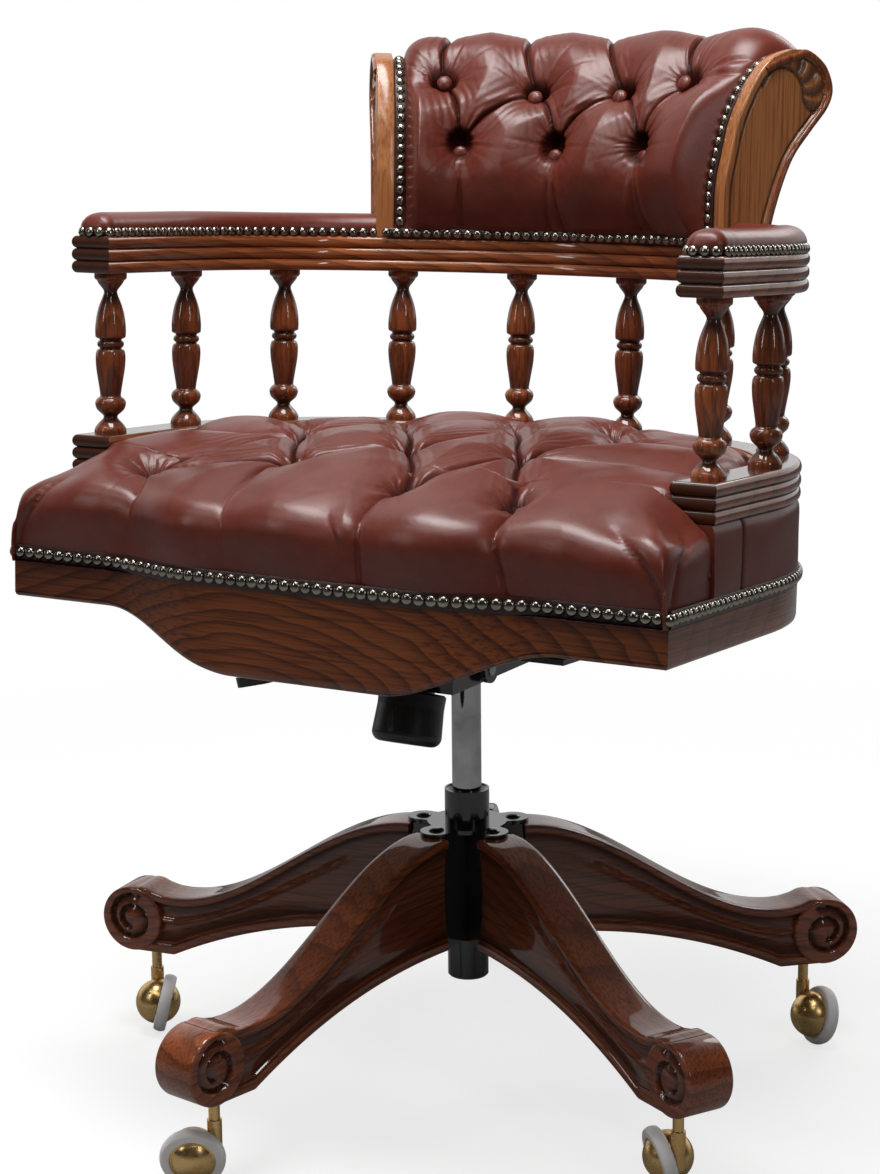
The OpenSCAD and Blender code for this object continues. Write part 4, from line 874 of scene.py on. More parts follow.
# a strip of painted shade under and between the front nails
line = xyz(x, front_line(x) - 1.8, SHADE_STRIP_Z)
shade_strip("shade_strip_seat_front", line, outward(np.gradient(line, axis=0)), SEAT_SHADE_STRIP)
q, d = along(xyz(*plan(np.linspace(BAND_END - 4, 4 - BAND_END, 900), RAIL_W / 2 + 1.0), NAIL_Z), SEAT_PITCH)
nail_row("nails_seat_sides", q, outward(d), SEAT_NAIL)
corner_x, corner_y = SEAT_HALF + 0.8, float(front_line(SEAT_HALF)) - 0.8
nail_row("nails_seat_corners", np.array([[-corner_x, corner_y, NAIL_Z], [corner_x, corner_y, NAIL_Z]]),
         np.array([[-0.7, -0.7, 0.1], [0.7, -0.7, 0.1]]), SEAT_NAIL)
# a strip of painted shade under and between the side nails
line = xyz(*plan(np.linspace(BAND_END - 2, 2 - BAND_END, 400), RAIL_W / 2 + 0.7), SHADE_STRIP_Z)
shade_strip("shade_strip_seat_sides", line, outward(np.gradient(line, axis=0)), SEAT_SHADE_STRIP)

# %% [markdown]
# ## Deep buttoning
# The same rules make the seat and the back. The hide is pulled down hard at each tuft.
# Between neighbouring tufts it folds into a crease, sharp at the bottom because two
# rounded puffs meet there. Short gathers fan out of every tuft. All of this is worked
# out on a flat pattern of the hide, and the result is pushed into the padded form.

# %% Crease pattern
FAR = 1e3         # a distance that stands for "nowhere near"


def crease(hide, line, depths, width, skew=0.0):
    """Depth of a fold along a drawn line, sharp at its bottom, and how far each point is from it."""
    q = smooth_curve(line, 7 * (len(line) - 1) + 1) if len(line) > 2 else np.asarray(line, float)
    near = np.nonzero(((hide > q.min(0) - 70) & (hide < q.max(0) + 70)).all(1))[0]
    p = hide[near]
    best, side, gone = (np.full(len(p), v) for v in (FAR, 0.0, 0.0))
    done = 0.0
    for a, b in zip(q[:-1], q[1:]):
        d = b - a
        length = float(np.linalg.norm(d))
        t = np.clip(((p - a) @ d) / length ** 2, 0, 1)
        gap = p - a - t[:, None] * d
        away = np.linalg.norm(gap, axis=1)
        closer = away < best
        best = np.where(closer, away, best)
        side = np.where(closer, np.sign(gap[:, 0] * d[1] - gap[:, 1] * d[0]), side)
        gone = np.where(closer, done + t * length, gone)
        done += length
    deep = np.interp(gone / done, np.linspace(0, 1, len(depths)), depths)
    depth, nearest = np.zeros(len(hide)), np.full(len(hide), FAR)
    depth[near] = deep * np.exp(-best / (width * (1 + skew * side)))
    nearest[near] = best
    return depth, nearest


def bowed(a, b, curl):
    """A line between two tufts that sags a little to one side."""
    a, b = np.asarray(a, float), np.asarray(b, float)
    d = b - a
    across = np.array([-d[1], d[0]]) / np.linalg.norm(d)
    return [a, a + 0.5 * d + across * curl, b]


def gathers(p, tuft, count, seed, size, near, far):
    """Small pleats that fan out of a tuft."""
    rng = np.random.default_rng(seed)
    d = p - tuft
    r = np.linalg.norm(d, axis=1)
    a = np.arctan2(d[:, 1], d[:, 0])
    wave = np.zeros(len(p))
    for i in range(count):
        at = 2 * np.pi * (i + rng.uniform(-0.3, 0.3)) / count
        gone = np.abs(np.mod(a - at + np.pi, 2 * np.pi) - np.pi) * np.maximum(r, 4)
        reach = far * rng.uniform(0.6, 1.25)
        wave += rng.uniform(0.5, 1.0) * bell(gone, 1.9) * np.exp(-np.maximum(r - near, 0) / reach)
    return size * wave * np.clip((r - 2) / 7, 0, 1)


def ruffles(away, p, seed, size, pitch, far):
    """Fine wrinkles that run beside a fold."""
    wander = 1.6 * drift(p, seed, 14)
    return size * (0.5 + 0.5 * np.cos(2 * np.pi * away / pitch + wander)) * np.exp(-away / far) * (away < 60)


def drift(p, seed, scale):
    """Slow unevenness, as a sum of a few long waves; about -1 to 1."""
    rng = np.random.default_rng(seed)
    total = np.zeros(len(p))
    for _ in range(7):
        k = rng.normal(0, 1, p.shape[1]) / scale
        total += np.sin(p @ k + rng.uniform(0, 6.28))
    return total / 3


# %% [markdown]
# ## Seat cushion
# The cushion is a padded dome with a tall front edge. The hide is a grid: rows go from
# the nails up over the front roll and back to the rear rail, columns from side to
# side. Edges are drawn as shares of the crown's height, so the whole form follows one
# dome. `HX` and `HY` are lengths along the hide, so pleats can run from a tuft straight
# down over the roll to the nails.

# %% Form of the seat
def crown(x, y):
    """Height of the padded top over the band: a dome, highest a little before the column."""
    sideways = (np.abs(x) / 200) ** 2
    return 124 - 0.00062 * (y + 10) ** 2 - 8 * sideways + 4.2 * ease((np.abs(x) - 120) / 200) * sideways


# edges as (distance in from the edge, share of the crown's height)
FRONT = [(2, 0), (0.6, 0.1), (-2, 0.26), (-4.6, 0.44), (-6.4, 0.6), (-6.2, 0.73), (-3, 0.84), (3, 0.91), (12, 0.95),
         (26, 0.978), (44, 0.991), (64, 0.998), (80, 1)]
EAR = [(2, 0), (1.4, 0.12), (0.6, 0.3), (0.2, 0.5), (0.6, 0.68), (2.6, 0.8), (8, 0.885), (22, 0.955), (44, 0.985),
       (66, 1)]
INNER = [(0, 0), (0.3, 0.3), (0.8, 0.55), (2.5, 0.76), (9, 0.9), (22, 0.965), (44, 0.99), (66, 1)]
REAR_EDGE = [(52, 1), (34, 0.985), (20, 0.94), (11, 0.86), (6, 0.68), (3.5, 0.36), (2, 0)]
FRONT_RUN, REAR_RUN = FRONT[-1][0], REAR_EDGE[0][0]
fine = 1.0

front = smooth_curve(FRONT, int(72 / fine))
rear_edge = smooth_curve(REAR_EDGE, int(24 / fine))
side_n, mid_n = int(50 / fine), int(330 / fine)
ear_side, inner_side = smooth_curve(EAR, side_n), smooth_curve(INNER, side_n)
inner_off = -RAIL_W / 2 - 0.5
SEAT_BACK = BACK_Y + BACK_R + inner_off


def inner_half(y):
    """Half the width between the rails' inner faces, at y."""
    bend = BEND_X + np.sqrt(np.maximum(1, (BEND_R + inner_off) ** 2 - (y - BEND_Y) ** 2))
    rear = np.sqrt(np.maximum(1, (BACK_R + inner_off) ** 2 - (y - BACK_Y) ** 2))
    join = BEND_Y + (BEND_R + inner_off) * math.sin(BEND)
    return np.where(y < BEND_Y, SIDE_X + inner_off, np.where(y < join, bend, rear))


tall = float(crown(0, -SEAT_FRONT))
front_gone = gone_along(np.stack([front[:, 0], front[:, 1] * tall], 1))
flat_y = np.linspace(-SEAT_FRONT + FRONT_RUN, SEAT_BACK - REAR_RUN, int(250 / fine))[1:]
row_y = np.concatenate([-SEAT_FRONT + front[:, 0], flat_y, SEAT_BACK - rear_edge[1:, 0]])
row_share = np.concatenate([front[:, 1], np.ones(len(flat_y)), rear_edge[1:, 1]])
hide_y = np.concatenate([front_gone - front_gone[-1] - SEAT_FRONT + FRONT_RUN, row_y[len(front):]])
rows_n, cols_n = len(row_y), 2 * side_n + mid_n - 2

wide = SEAT_HALF - 0.5
ear = 1 - ease((row_y + RAIL_FRONT + 2.5) / 2)
half = inner_half(row_y) * (1 - ear) + wide * ear
X, HX, SIDE = (np.zeros((rows_n, cols_n)) for _ in range(3))
for i in range(rows_n):
    # just behind the rails' ends the hide still stands high against their inner faces
    steep = 0.15 + 0.85 * ease((row_y[i] + RAIL_FRONT) / 80)
    edge = np.stack([inner_side[:, 0], inner_side[:, 1].clip(0, 1) ** steep], 1) * (1 - ear[i]) + ear_side * ear[i]
    shrink = min(1.0, half[i] / 100)
    left = -half[i] + edge[:, 0] * shrink
    middle = np.linspace(left[-1], -left[-1], mid_n)[1:-1]
    X[i] = np.concatenate([left, middle, -left[::-1]])
    SIDE[i] = np.concatenate([edge[:, 1], np.ones(mid_n - 2), edge[::-1, 1]])
    gone = gone_along(np.stack([edge[:, 0], edge[:, 1] * 85], 1))
    hide = left[-1] - (gone[-1] - gone)
    HX[i] = np.concatenate([hide, middle, -hide[::-1]])
Y = np.repeat(row_y[:, None], cols_n, 1)
HY = np.repeat(hide_y[:, None], cols_n, 1)
forward = ease((-RAIL_FRONT - Y) / 80)
Y = Y + forward * (front_line(X) + SEAT_FRONT)
# behind this line the rows bend with the back, and the crown falls no further
BEND_FROM = 60
bent = ease((Y - BEND_FROM) / (SEAT_BACK - BEND_FROM)) * X ** 2 / (2 * BACK_R) * 0.9
Y = Y - np.where(Y > BEND_FROM, bent, 0)
lost = np.sqrt((1 - row_share[:, None]) ** 2 + (1 - SIDE) ** 2)
Z = np.maximum(0, crown(X, np.minimum(Y, BEND_FROM)) * (1 - lost))
# outside the rails' ends the padding is pulled lower, to pass under the wood
Z = Z * (1 - 0.2 * ease((np.abs(X) - 262) / 60) * ease((Y + 265) / 60) * (Y < -RAIL_FRONT + 2))

# %% [markdown]
# At the front corners the hide turns round a corner that is tight at the nails and wide
# at the top. The plan corner is rounded with a square to circle map, by a radius that
# grows with the height.

# %% Round the corners
CORNER_MARGIN = 7.0
corner = 8 + 20 * ease(Z / 74)
edge_x = (wide + CORNER_MARGIN - np.abs(X)) / corner
edge_y = (Y - front_line(X) + CORNER_MARGIN) / corner
near = (edge_x < 1) & (edge_y < 1) & (Y < -200)
u, v = np.where(near, 1 - edge_x, 0), np.where(near, 1 - edge_y, 0)
X = X - np.where(near, np.sign(X) * corner * (u - u * np.sqrt(np.maximum(0, 1 - v * v / 2))), 0)
Y = Y + np.where(near, corner * (v - v * np.sqrt(np.maximum(0, 1 - u * u / 2))), 0)

# %% [markdown]
# The tufts stand in a diamond pattern and the hide folds from one to the next. Folds
# that run towards the front are deep channels with bundles of fine wrinkles. From each
# front tuft a pleat runs down over the roll to the nails, and the corners are pleated
# round the padding.

# %% Press in the pattern
TUFTS = np.array([[-215, -206], [-86, -170], [54, -205], [160, -209], [-148, -62], [-6, -105], [109, -105],
                  [-205, 40], [-76, 15], [45, 15], [151, 15], [-136, 120], [-22, 120], [92, 120]], float)
CHANNELS = [(1, 4), (2, 5), (3, 6), (5, 8), (6, 9), (4, 7), (8, 11), (9, 12), (10, 13)]
FOLDS = [(0, 1), (0, 4), (1, 5), (2, 6), (4, 8), (5, 9), (6, 10), (7, 11), (8, 12), (9, 13)]
P = np.stack([X, Y, BAND_TOP + Z], -1)
N = np.cross(np.gradient(P, axis=1), np.gradient(P, axis=0))
N /= np.maximum(np.linalg.norm(N, axis=2, keepdims=True), 1e-9)
N *= np.sign(N[rows_n // 2, cols_n // 2, 2])
RUFFLE_PITCH, RUFFLE_FAR, PUCKER_FAR = 8.0, 14.0, 6.0


def start_pattern(hide):
    """A flat hide with no folds yet: the arrays that `press` adds to."""
    global H, depth, nearest, wrinkle, beside, puckered
    H = hide.reshape(-1, 2)
    depth, wrinkle, puckered = (np.zeros(len(H)) for _ in range(3))
    nearest, beside = np.full(len(H), FAR), np.full(len(H), FAR)


def press(line, depths, width, skew=0.0, reach=1.0, ruffle=0.0):
    global depth, nearest, wrinkle, beside, puckered
    d, away = crease(H, line, depths, width, skew)
    depth, nearest = np.maximum(depth, d), np.minimum(nearest, away * reach)
    if ruffle:
        fine_waves = ruffles(away, H, 60, ruffle, RUFFLE_PITCH, RUFFLE_FAR)
        wrinkle = np.maximum(wrinkle, fine_waves * np.clip(d + away, 0, 1))
        puckered = np.where(away < beside, ruffle * np.exp(-away / PUCKER_FAR), puckered)
        beside = np.minimum(beside, away)


def pleats(tufts, far):
    """The way to the nearest tuft and fold, and how much the hide is gathered there."""
    way = H[:, None] - np.asarray(tufts)[None]
    r = np.linalg.norm(way, axis=2)
    every, k = np.arange(len(H)), r.argmin(1)
    way, r = way[every, k], r[every, k]
    rays = bell(r, far) * np.clip(r / 6 - 0.7, 0, 1)
    return xyz(way[:, 0], way[:, 1], np.minimum(beside, 99)), xyz(rays, 0.35 * np.clip(puckered / 2.6, 0, 1), 0)


start_pattern(np.stack([HX, HY], -1))
for k, (a, b) in enumerate(CHANNELS):
    press(bowed(TUFTS[a], TUFTS[b], 3.0 * (-1) ** k), (18, 13, 12, 13, 18), 6.0, 0.2, ruffle=1.5)
for k, (a, b) in enumerate(FOLDS):
    press(bowed(TUFTS[a], TUFTS[b], 5.0 * (-1) ** k), (18, 9, 7.5, 9, 18), 5.5, 0.25, ruffle=1.4)
press([TUFTS[0], (-203, -232), (-194, -253), (-195, -273), (-194, -292)], (17, 8, 7, 4, 0.5), 5.0, 0.3)
press([TUFTS[1], (-98, -196), (-93, -228), (-85, -257), (-80, -279), (-79, -326)],
      (17, 8, 3.5, 2.2, 2.0, 1.0), 3.6)
press([TUFTS[2], (49, -226), (49, -243), (52, -271), (55, -332)], (17, 10, 9, 8, 5), 4.6, 0.35)
press([TUFTS[3], (171, -230), (171, -246), (174, -269), (184, -332)], (17, 10, 9, 7, 4.5), 4.6, 0.35)
press([(20, -255), (27, -268), (40, -293), (46, -318)], (0.4, 2.2, 2.0, 0.5), 4.0)
for side, top in ((1, 271), (-1, 284)):
    press([(side * top, -248), (side * 303, -279), (side * 318, -302), (side * 328, -332)],
          (2, 4.2, 4.2, 2.6), 2.8, 0.5 * side, 1.3)
    press([(side * 311, -203), (side * 330, -226), (side * 345, -240), (side * 388, -250)],
          (2, 4.2, 4.2, 2.6), 2.8, -0.4 * side, 1.3)
press([TUFTS[7], (-250, 52), (-286, 56)], (14, 6, 2), 7.0)
press([TUFTS[4], (-215, -74), (-284, -80)], (12, 5, 1.5), 8.0)
press([TUFTS[10], (212, 24), (286, 20)], (15, 7, 2), 7.0)
press([TUFTS[6], (190, -92), (284, -84)], (12, 6, 1.5), 8.0)
for k, spread in ((11, -30), (12, -6), (13, 26)):
    press(bowed(TUFTS[k], TUFTS[k] + (spread, 66), 2.0), (15, 6, 2), 6.0)
for k, t in enumerate(TUFTS):
    r = np.linalg.norm(H - t, axis=1)
    depth = np.maximum(depth, 24.0 * np.exp(-(r / 13.0) ** 1.3))
    nearest = np.minimum(nearest, r)
    wrinkle = np.maximum(wrinkle, gathers(H, t, 12, 40 + k, 2.8, 10, 18))
puff = (6.5 - 3.5 * (1 - ease(Z.ravel() / 80))) * (1 - bell(nearest, 30))
puff = puff * (1 - 0.8 * ease((np.abs(X.ravel()) - 296) / 18))
tuft, gathered = pleats(TUFTS, 20)
high = Z.ravel()
sag = 1.8 * drift(H, 3, 60) + 0.5 * drift(H, 4, 18)
keep = np.clip(high / 30, 0, 1)
rear = 1 - ease((Y.ravel() - SEAT_BACK + 40) / 34)
push = (puff - depth - wrinkle - 2.0 + sag) * keep * rear - (1 - keep) * depth * 0.6
P = P.reshape(-1, 3) + N.reshape(-1, 3) * push[:, None]
P[:, 2] = np.maximum(P[:, 2], BAND_TOP - 0.5)
# painted shade in the hide's colour: darkest at the bottoms of the deeper folds, on the fold lines and in the
# gathers
fold = np.clip((depth - 9) / 12, 0, 1) + np.clip(wrinkle / 6, 0, 0.35)
fold = fold + 0.85 * bell(beside, 2.0) * np.clip(depth / 7, 0, 1)
number = np.arange(rows_n * cols_n).reshape(rows_n, cols_n)
base = np.concatenate([number[:, 0], number[-1, 1:], number[-2::-1, -1], number[0, -2:0:-1]]).tolist()
seat = piece("seat_hide", P, sheet(rows_n, cols_n) + [base], leather, instead_of=("seat_cushion",),
             fold=np.clip(fold, 0, 1), tuft=tuft, gathered=gathered)
print("seat hide:", rows_n, "rows by", cols_n, "columns; deepest fold", round(float(depth.max()), 1), "mm")

# %% [markdown]
# ## Side border
# Below the lower rail the seat's sides are covered by a plain padded border, with a
# seam every so often where one piece of hide is joined to the next.

# %% Border
BORDER_STEPS, SEAMS = 420, np.array([-516, -310, -104, 104, 310, 516])
levels = smooth_curve([(19.4, BAND_TOP), (20.6, 511), (21.4, 522), (21.8, 540), (21.6, 560), (20.6, 573),
                       (17.5, LOWER_Z)], 26)
section = [(-RAIL_W / 2, LOWER_Z), (-RAIL_W / 2, BAND_TOP)] + [tuple(q) for q in levels]
p, faces, s = swept(section, PLAN_END - 0.5, PLAN_END - 0.5, BORDER_STEPS)
to_seam = np.min(np.abs(s[:, None] - SEAMS), axis=1)
outer = np.repeat([0, 0] + [1] * len(levels), BORDER_STEPS)
middle = np.clip(1 - ((p[:, 2] - (BAND_TOP + LOWER_Z) / 2) / ((LOWER_Z - BAND_TOP) / 2)) ** 2, 0, 1)
dip = outer * (1.8 * np.exp(-to_seam / 2.2) - 0.9 * drift(np.stack([s, p[:, 2]], 1), 12, 25) * middle)
outwards = np.array(plan(s, 1)) - np.array(plan(s, 0))
p[:, :2] -= (dip * outwards).T
border = piece("border_hide", p, faces, leather, instead_of=("seat_border",), sharp=60,
               fold=outer * np.exp(-to_seam / 2.0))

# %% [markdown]
# ## Arm pads
# A pad is a dome of leather over felt, nailed along its lower edge. Each height of it
# is a plan outline with rounded front corners, drawn in a little more towards the top.

# %% Arm pads
WING = math.radians(34.4)
PAD_FROM = WING * BACK_R - 3


PAD_HALF, PAD_ROUND, PAD_H, PAD_END = 17.4, 11, 23, PLAN_END - 3


def pad_outline(half, end, corner, steps=150, arc=9):
    """A pad seen from above: two long sides and a rounded front end."""
    s = np.linspace(PAD_FROM, end - corner, steps)
    turn = np.linspace(0, np.pi / 2, arc)[1:]
    so = np.concatenate([s, end - corner + corner * np.sin(turn)])
    oo = np.concatenate([np.full(steps, half), half - corner + corner * np.cos(turn)])
    return np.concatenate([so, so[::-1]]), np.concatenate([oo, -oo[::-1]])


PAD_LINE = smooth_curve([(2.4, 0), (0.4, 3.5), (-0.7, 8), (0.2, 13), (3.2, 17.6), (7.5, 20.8), (12, 22.4),
                         (16, PAD_H)], 26)
for side in (-1, 1):
    rows, hide = [], []
    for inset, z in PAD_LINE:
        half_w = max(0.4, PAD_HALF - inset)
        s, off = pad_outline(half_w, PAD_END - inset, min(max(1.0, PAD_ROUND - inset * 0.5), half_w))
        rows.append(xyz(*plan(side * s, off), PAD_Z + z))
        hide.append(np.stack([s, off * (1 + 0.9 * (PAD_H - z) / PAD_H)], 1))
    n, m = len(rows), len(rows[0])
    p, h = np.concatenate(rows), np.concatenate(hide)
    up = np.repeat(PAD_LINE[:, 1] / PAD_H, m)
    p[:, 2] += up * (0.8 * drift(h, 20 + side, 30) - 0.7)
    # three small pinches by the front corner, where the nails pull the hide down; the hide is
    # darkened in them as painted shade
    pinch = np.zeros(len(h))
    for at in (6, 17, 29):
        pinch = np.maximum(pinch, 0.9 * bell(PAD_END - h[:, 0] - at, 1.6) * (1 - up))
    p[:, 2] -= pinch
    faces = sheet(n, m, loop=True) + [list(range(m))]
    top = (n - 1) * m
    faces += [[top + i, top + i + 1, top + m - 2 - i, top + m - 1 - i] for i in range(m // 2 - 1)]
    name = "right" if side > 0 else "left"
    pad = piece("arm_hide_" + name, p, faces, leather, instead_of=("arm_pad_" + name,),
                sharp=70, fold=np.clip(pinch, 0, 1))

# %% [markdown]
# The pads' nails run round the front of each arm and along both of its sides. On the
# inner side the row carries on, past the wings, below the buttoned back.

# %% Nails of the upper rail
RAIL_NAIL, RAIL_PITCH = 9.2, 10.4
pad_foot = pad_outline(PAD_HALF + 0.5, PAD_END + 0.4, PAD_ROUND, 220, 14)
q, d = along(xyz(*plan(*pad_foot), PAD_Z + 3.9), RAIL_PITCH)
for side, name in ((1, "right"), (-1, "left")):
    flip = np.array([side, 1, 1])
    nail_row("nails_arm_" + name, q * flip, -outward(d, -0.15) * flip, RAIL_NAIL)
q, d = along(xyz(*plan(np.linspace(-PAD_FROM + 2, PAD_FROM - 2, 400), -22.6), PAD_Z + 4.2), RAIL_PITCH)
nail_row("nails_back_foot", q, outward(d, 0.1), RAIL_NAIL)
# a strip of painted shade under and between these nails
shade_strip("shade_strip_back_foot", q - outward(d, 0.1) * 0.8, outward(d, 0.1), 9.5)

# %% [markdown]
# ## Buttoned back
# In section the back is a tall roll: it leans back as it rises, folds over the top and
# tucks in under its rear edge. The section is swept between the wings. Each covered
# button sits in a deep pit, gathers fan out of the pits, and a fold runs from every
# upper button over the top.

# %% Form of the back
BACK_SCALE, WING_T = 179 / 181, 17.5
WING_IN = math.degrees(WING - math.atan2(WING_T, 331)) - 0.1
ARC = 6.0   # mm of flat hide to a degree of turn
BUTTONS = [(-23.5, 154, -0.2), (-8, 140, -6), (7.3, 141, -6), (19.5, 154, -0.2), (-20.1, 84, -22), (-3, 82, -23),
           (14.5, 82, -22)]
SOFT = [(-20.5, 0), (-21, 7), (-27, 15), (-37, 29), (-45, 48), (-49, 70), (-45, 93), (-36, 115), (-24, 136),
        (-10, 157), (4, 176), (20, 192), (38, 202), (56, 204), (76, 198), (93, 183), (102, 163), (101, 145),
        (93, 130), (80, 120), (68, 118.5), (66, 118.6)]
HARD = [(-20.5, 0), (-20.5, 12), (-20.5, 26), (-20.5, 44), (-19, 64), (-15, 84), (-10, 104), (-3, 126), (8, 146),
        (20, 162), (34, 173), (46, 178), (58, 179), (70, 175), (82, 167), (90, 154), (91, 142), (85, 129),
        (77, 119.5), (68, 118.4), (66, 118.6)]
REAR = [(60, 124), (44.6, 138.8), (30, 148.6), (20, 133.3), (10, 118), (0, 83), (0, 42), (0, 0)]


def around_back(degrees, x, z):
    """A point of the back; its sides stand against the flat inner faces of the wings."""
    t = np.radians(degrees) * (WING - np.arctan2(WING_T + 0.2, BACK_R + x)) / math.radians(WING_IN)
    return xyz((BACK_R + x) * np.sin(t), BACK_Y + (BACK_R + x) * np.cos(t), PAD_Z + z * BACK_SCALE)


path_n, turn_n = int(250 / fine), int(300 / fine)
soft_line, hard_line = smooth_curve(SOFT, path_n), smooth_curve(HARD, path_n)
soft_gone, top = gone_along(soft_line), int(np.argmax(soft_line[:, 1]))
top_gone, end_gone = float(soft_gone[top]), float(soft_gone[-1])


def up_to(height):
    """How far along the soft line it first comes to this height."""
    return np.interp(height, soft_line[:top, 1], soft_gone[:top])


edge_pack = np.sin(np.linspace(-np.pi / 2, np.pi / 2, turn_n))
degrees = WING_IN * (0.45 * np.linspace(-1, 1, turn_n) + 0.55 * edge_pack)
full = ease((WING_IN - 1.8 - np.abs(degrees)) / 2.4) ** 0.5
# low down the leather swells quickly beside the wings, on top it ends in a round shoulder
over_top = ease((soft_gone - up_to(125)) / 45)
shoulder = np.sqrt(1 - (1 - np.clip((WING_IN - 1.7 - np.abs(degrees)) / 5.5, 0, 1)) ** 2)
full = full[:, None] + (shoulder - full)[:, None] * over_top[None]
line = hard_line[None] + (soft_line - hard_line)[None] * full[:, :, None]
start_pattern(np.stack(np.broadcast_arrays(degrees[:, None] * ARC, soft_gone), -1))
# the mouth of each pit lies higher on the hide than the button at its bottom
spots = [np.array([turn * ARC, up_to(height) + (20 if height > 100 else 10)]) for turn, height, _ in BUTTONS]
for k, (a, b) in enumerate(((0, 4), (1, 4), (1, 5), (2, 5), (2, 6), (3, 6))):
    press(bowed(spots[a], spots[b], 5.0 * (-1) ** k), (20, 13, 11, 13, 20), 3.8, 0.3, ruffle=1.4)
for k in range(4):
    over = np.array([spots[k][0] + (4, -22, -40, -20)[k], top_gone + 12])
    press([*bowed(spots[k], over, 5.0), (over[0] - 8, end_gone - 6)], (20, 8, 6.5, 4), 3.8, 0.3, ruffle=1.0)
for k, spread in ((4, (2,)), (5, (-9, 9)), (6, (-4, 8))):
    for dx in spread:
        press(bowed(spots[k], (spots[k][0] + dx, 4.0), 1.5), (18, 8, 6, 4), 3.6, 0.3, 1.2)
for k, edge in ((0, -WING_IN * ARC), (3, WING_IN * ARC)):
    for rise in (-6, 22):
        press(bowed(spots[k], (edge, spots[k][1] + rise), 3.0), (18, 7, 3), 6.0, 0.3)
for k, spot in enumerate(spots):
    r = np.linalg.norm((H - spot) / (1.0, 1.2), axis=1)
    depth = np.maximum(depth, 31.0 * bell(r, 14.5))
    depth = np.maximum(depth, 17.0 * np.exp(-(r / 26.0) ** 1.4))
    nearest = np.minimum(nearest, r)
    rays = gathers(H, spot, 11, 90 + k, 4.4, 12, 17)
    above = 0.35 + 0.65 * np.clip((H[:, 1] - spot[1]) / 14 + 0.6, 0, 1)
    wrinkle = np.maximum(wrinkle, rays * above)
push = depth + wrinkle - 7.0 * (1 - bell(nearest, 27)) + 2.5
push -= 1.6 * drift(H, 31, 45) + 0.5 * drift(H, 32, 14)
live = full.ravel() * np.tile(np.clip(np.minimum(soft_gone, end_gone - soft_gone) / 14, 0, 1), turn_n)
# the hide is pressed towards a middle line inside the roll
core = np.stack([np.full(line.shape[:2], 24.0), np.minimum(line[..., 1], 120)], -1)
moved = line + unit(core - line) * (push * live).reshape(turn_n, path_n, 1)
rear = np.array(REAR)
whole = np.concatenate([around_back(degrees[:, None], moved[..., 0], moved[..., 1]),
                        around_back(degrees[:, None], rear[:, 0], rear[:, 1])], 1)
n, m = whole.shape[:2]
# painted shade in the hide's colour: darkest in the pits, at the bottoms of the folds, on the fold lines and in the
# gathers
fold = np.clip((depth - 9) / 12, 0, 1) + np.clip(wrinkle / 7, 0, 0.4) + 0.9 * bell(beside, 1.9)
tuft, gathered = pleats(spots, 19)
gathered[:, 0] *= 0.25 + 0.75 * np.clip(tuft[:, 1] / 16 + 0.6, 0, 1)


def with_rear(values):
    """The same values, with the plain rear of the roll added to each section."""
    values = values.reshape(n, path_n, -1)
    return np.concatenate([values, np.zeros((n, len(rear), values.shape[2]))], 1).reshape(n * m, -1)


back_hide = piece("back_hide", whole, tube(n, m), leather, instead_of=("back_cushion",),
                  fold=with_rear(np.clip(fold, 0, 1)).ravel(), tuft=with_rear(tuft), gathered=with_rear(gathered))
print("back hide:", turn_n, "by", path_n, "points")

# %% Plain leather on the outside of the back
outside = smooth_curve([(27, 0), (31, 24), (41, 61), (53, 92), (65, 118)], 40)
inside = np.array([(24, 108), (14, 73), (14, 0)])
section = np.concatenate([outside, inside])
turns = np.linspace(-WING_IN, WING_IN, 90)
p = around_back(turns[:, None], section[:, 0], section[:, 1])
n, m = p.shape[:2]
piece("outside_back", p, tube(n, m), leather, instead_of=("back_cover",), sharp=50, fold=np.zeros(n * m))
q, d = along(around_back(np.linspace(-WING_IN + 0.8, WING_IN - 0.8, 200), 27.6, 4.5), RAIL_PITCH)
nail_row("nails_outside_foot", q, -outward(d, 0.15) * (1, 1, -1), RAIL_NAIL)
SIDES = (("left", -1), ("right", 1))
for name, side in SIDES:
    q, d = along(around_back(side * (WING_IN - 0.9), outside[3:-2, 0] + 0.7, outside[3:-2, 1]), RAIL_PITCH)
    edge = math.radians(WING_IN)
    normals = xyz(np.full(len(d), side * math.sin(edge)), math.cos(edge), -0.45)
    nail_row("nails_outside_" + name, q, normals, RAIL_NAIL)
# in front the row follows the plain section of the roll, beside the wing
beside_wing = smooth_curve(HARD, 200)[8:132]
for name, side in SIDES:
    edge = side * (WING_IN - 0.95)
    q, d = along(around_back(edge, beside_wing[:, 0] - 1.6, beside_wing[:, 1] + 0.8), RAIL_PITCH)
    s, c = math.sin(math.radians(edge)), math.cos(math.radians(edge))
    normals = np.cross(d, (c, -s, 0))
    normals *= -np.sign((normals @ (s, c, 0))[len(normals) // 4])
    nail_row("nails_wing_" + name, q, normals, RAIL_NAIL)
    shade_strip("shade_strip_wing_" + name, q - normals * 0.8, normals, 11.5)

# %% [markdown]
# ## Wings
# The wings are sawn boards that stand on the upper rail, with eased edges. The outer
# face is carved: a raised rim goes round a sunk panel, and a groove parts the panel from
# a leaf of plain lobes by the tip. A dark round bead follows the rear edge.

# %% Wings
FRONT_LINE = [(-20, 0), (-20, 54), (-15, 84), (-8, 116), (3, 142), (14, 161), (29, 177), (50, 185)]
REAR_LINE = [(66, 185), (84, 174), (93, 159), (95, 145), (89, 130), (73, 110), (55, 86), (43, 58), (33, 24),
             (29, 0)]
LEAF_LINE = [(20, 150), (27, 163), (40, 168), (54, 163), (63, 150), (66, 136), (74, 128), (84, 127)]


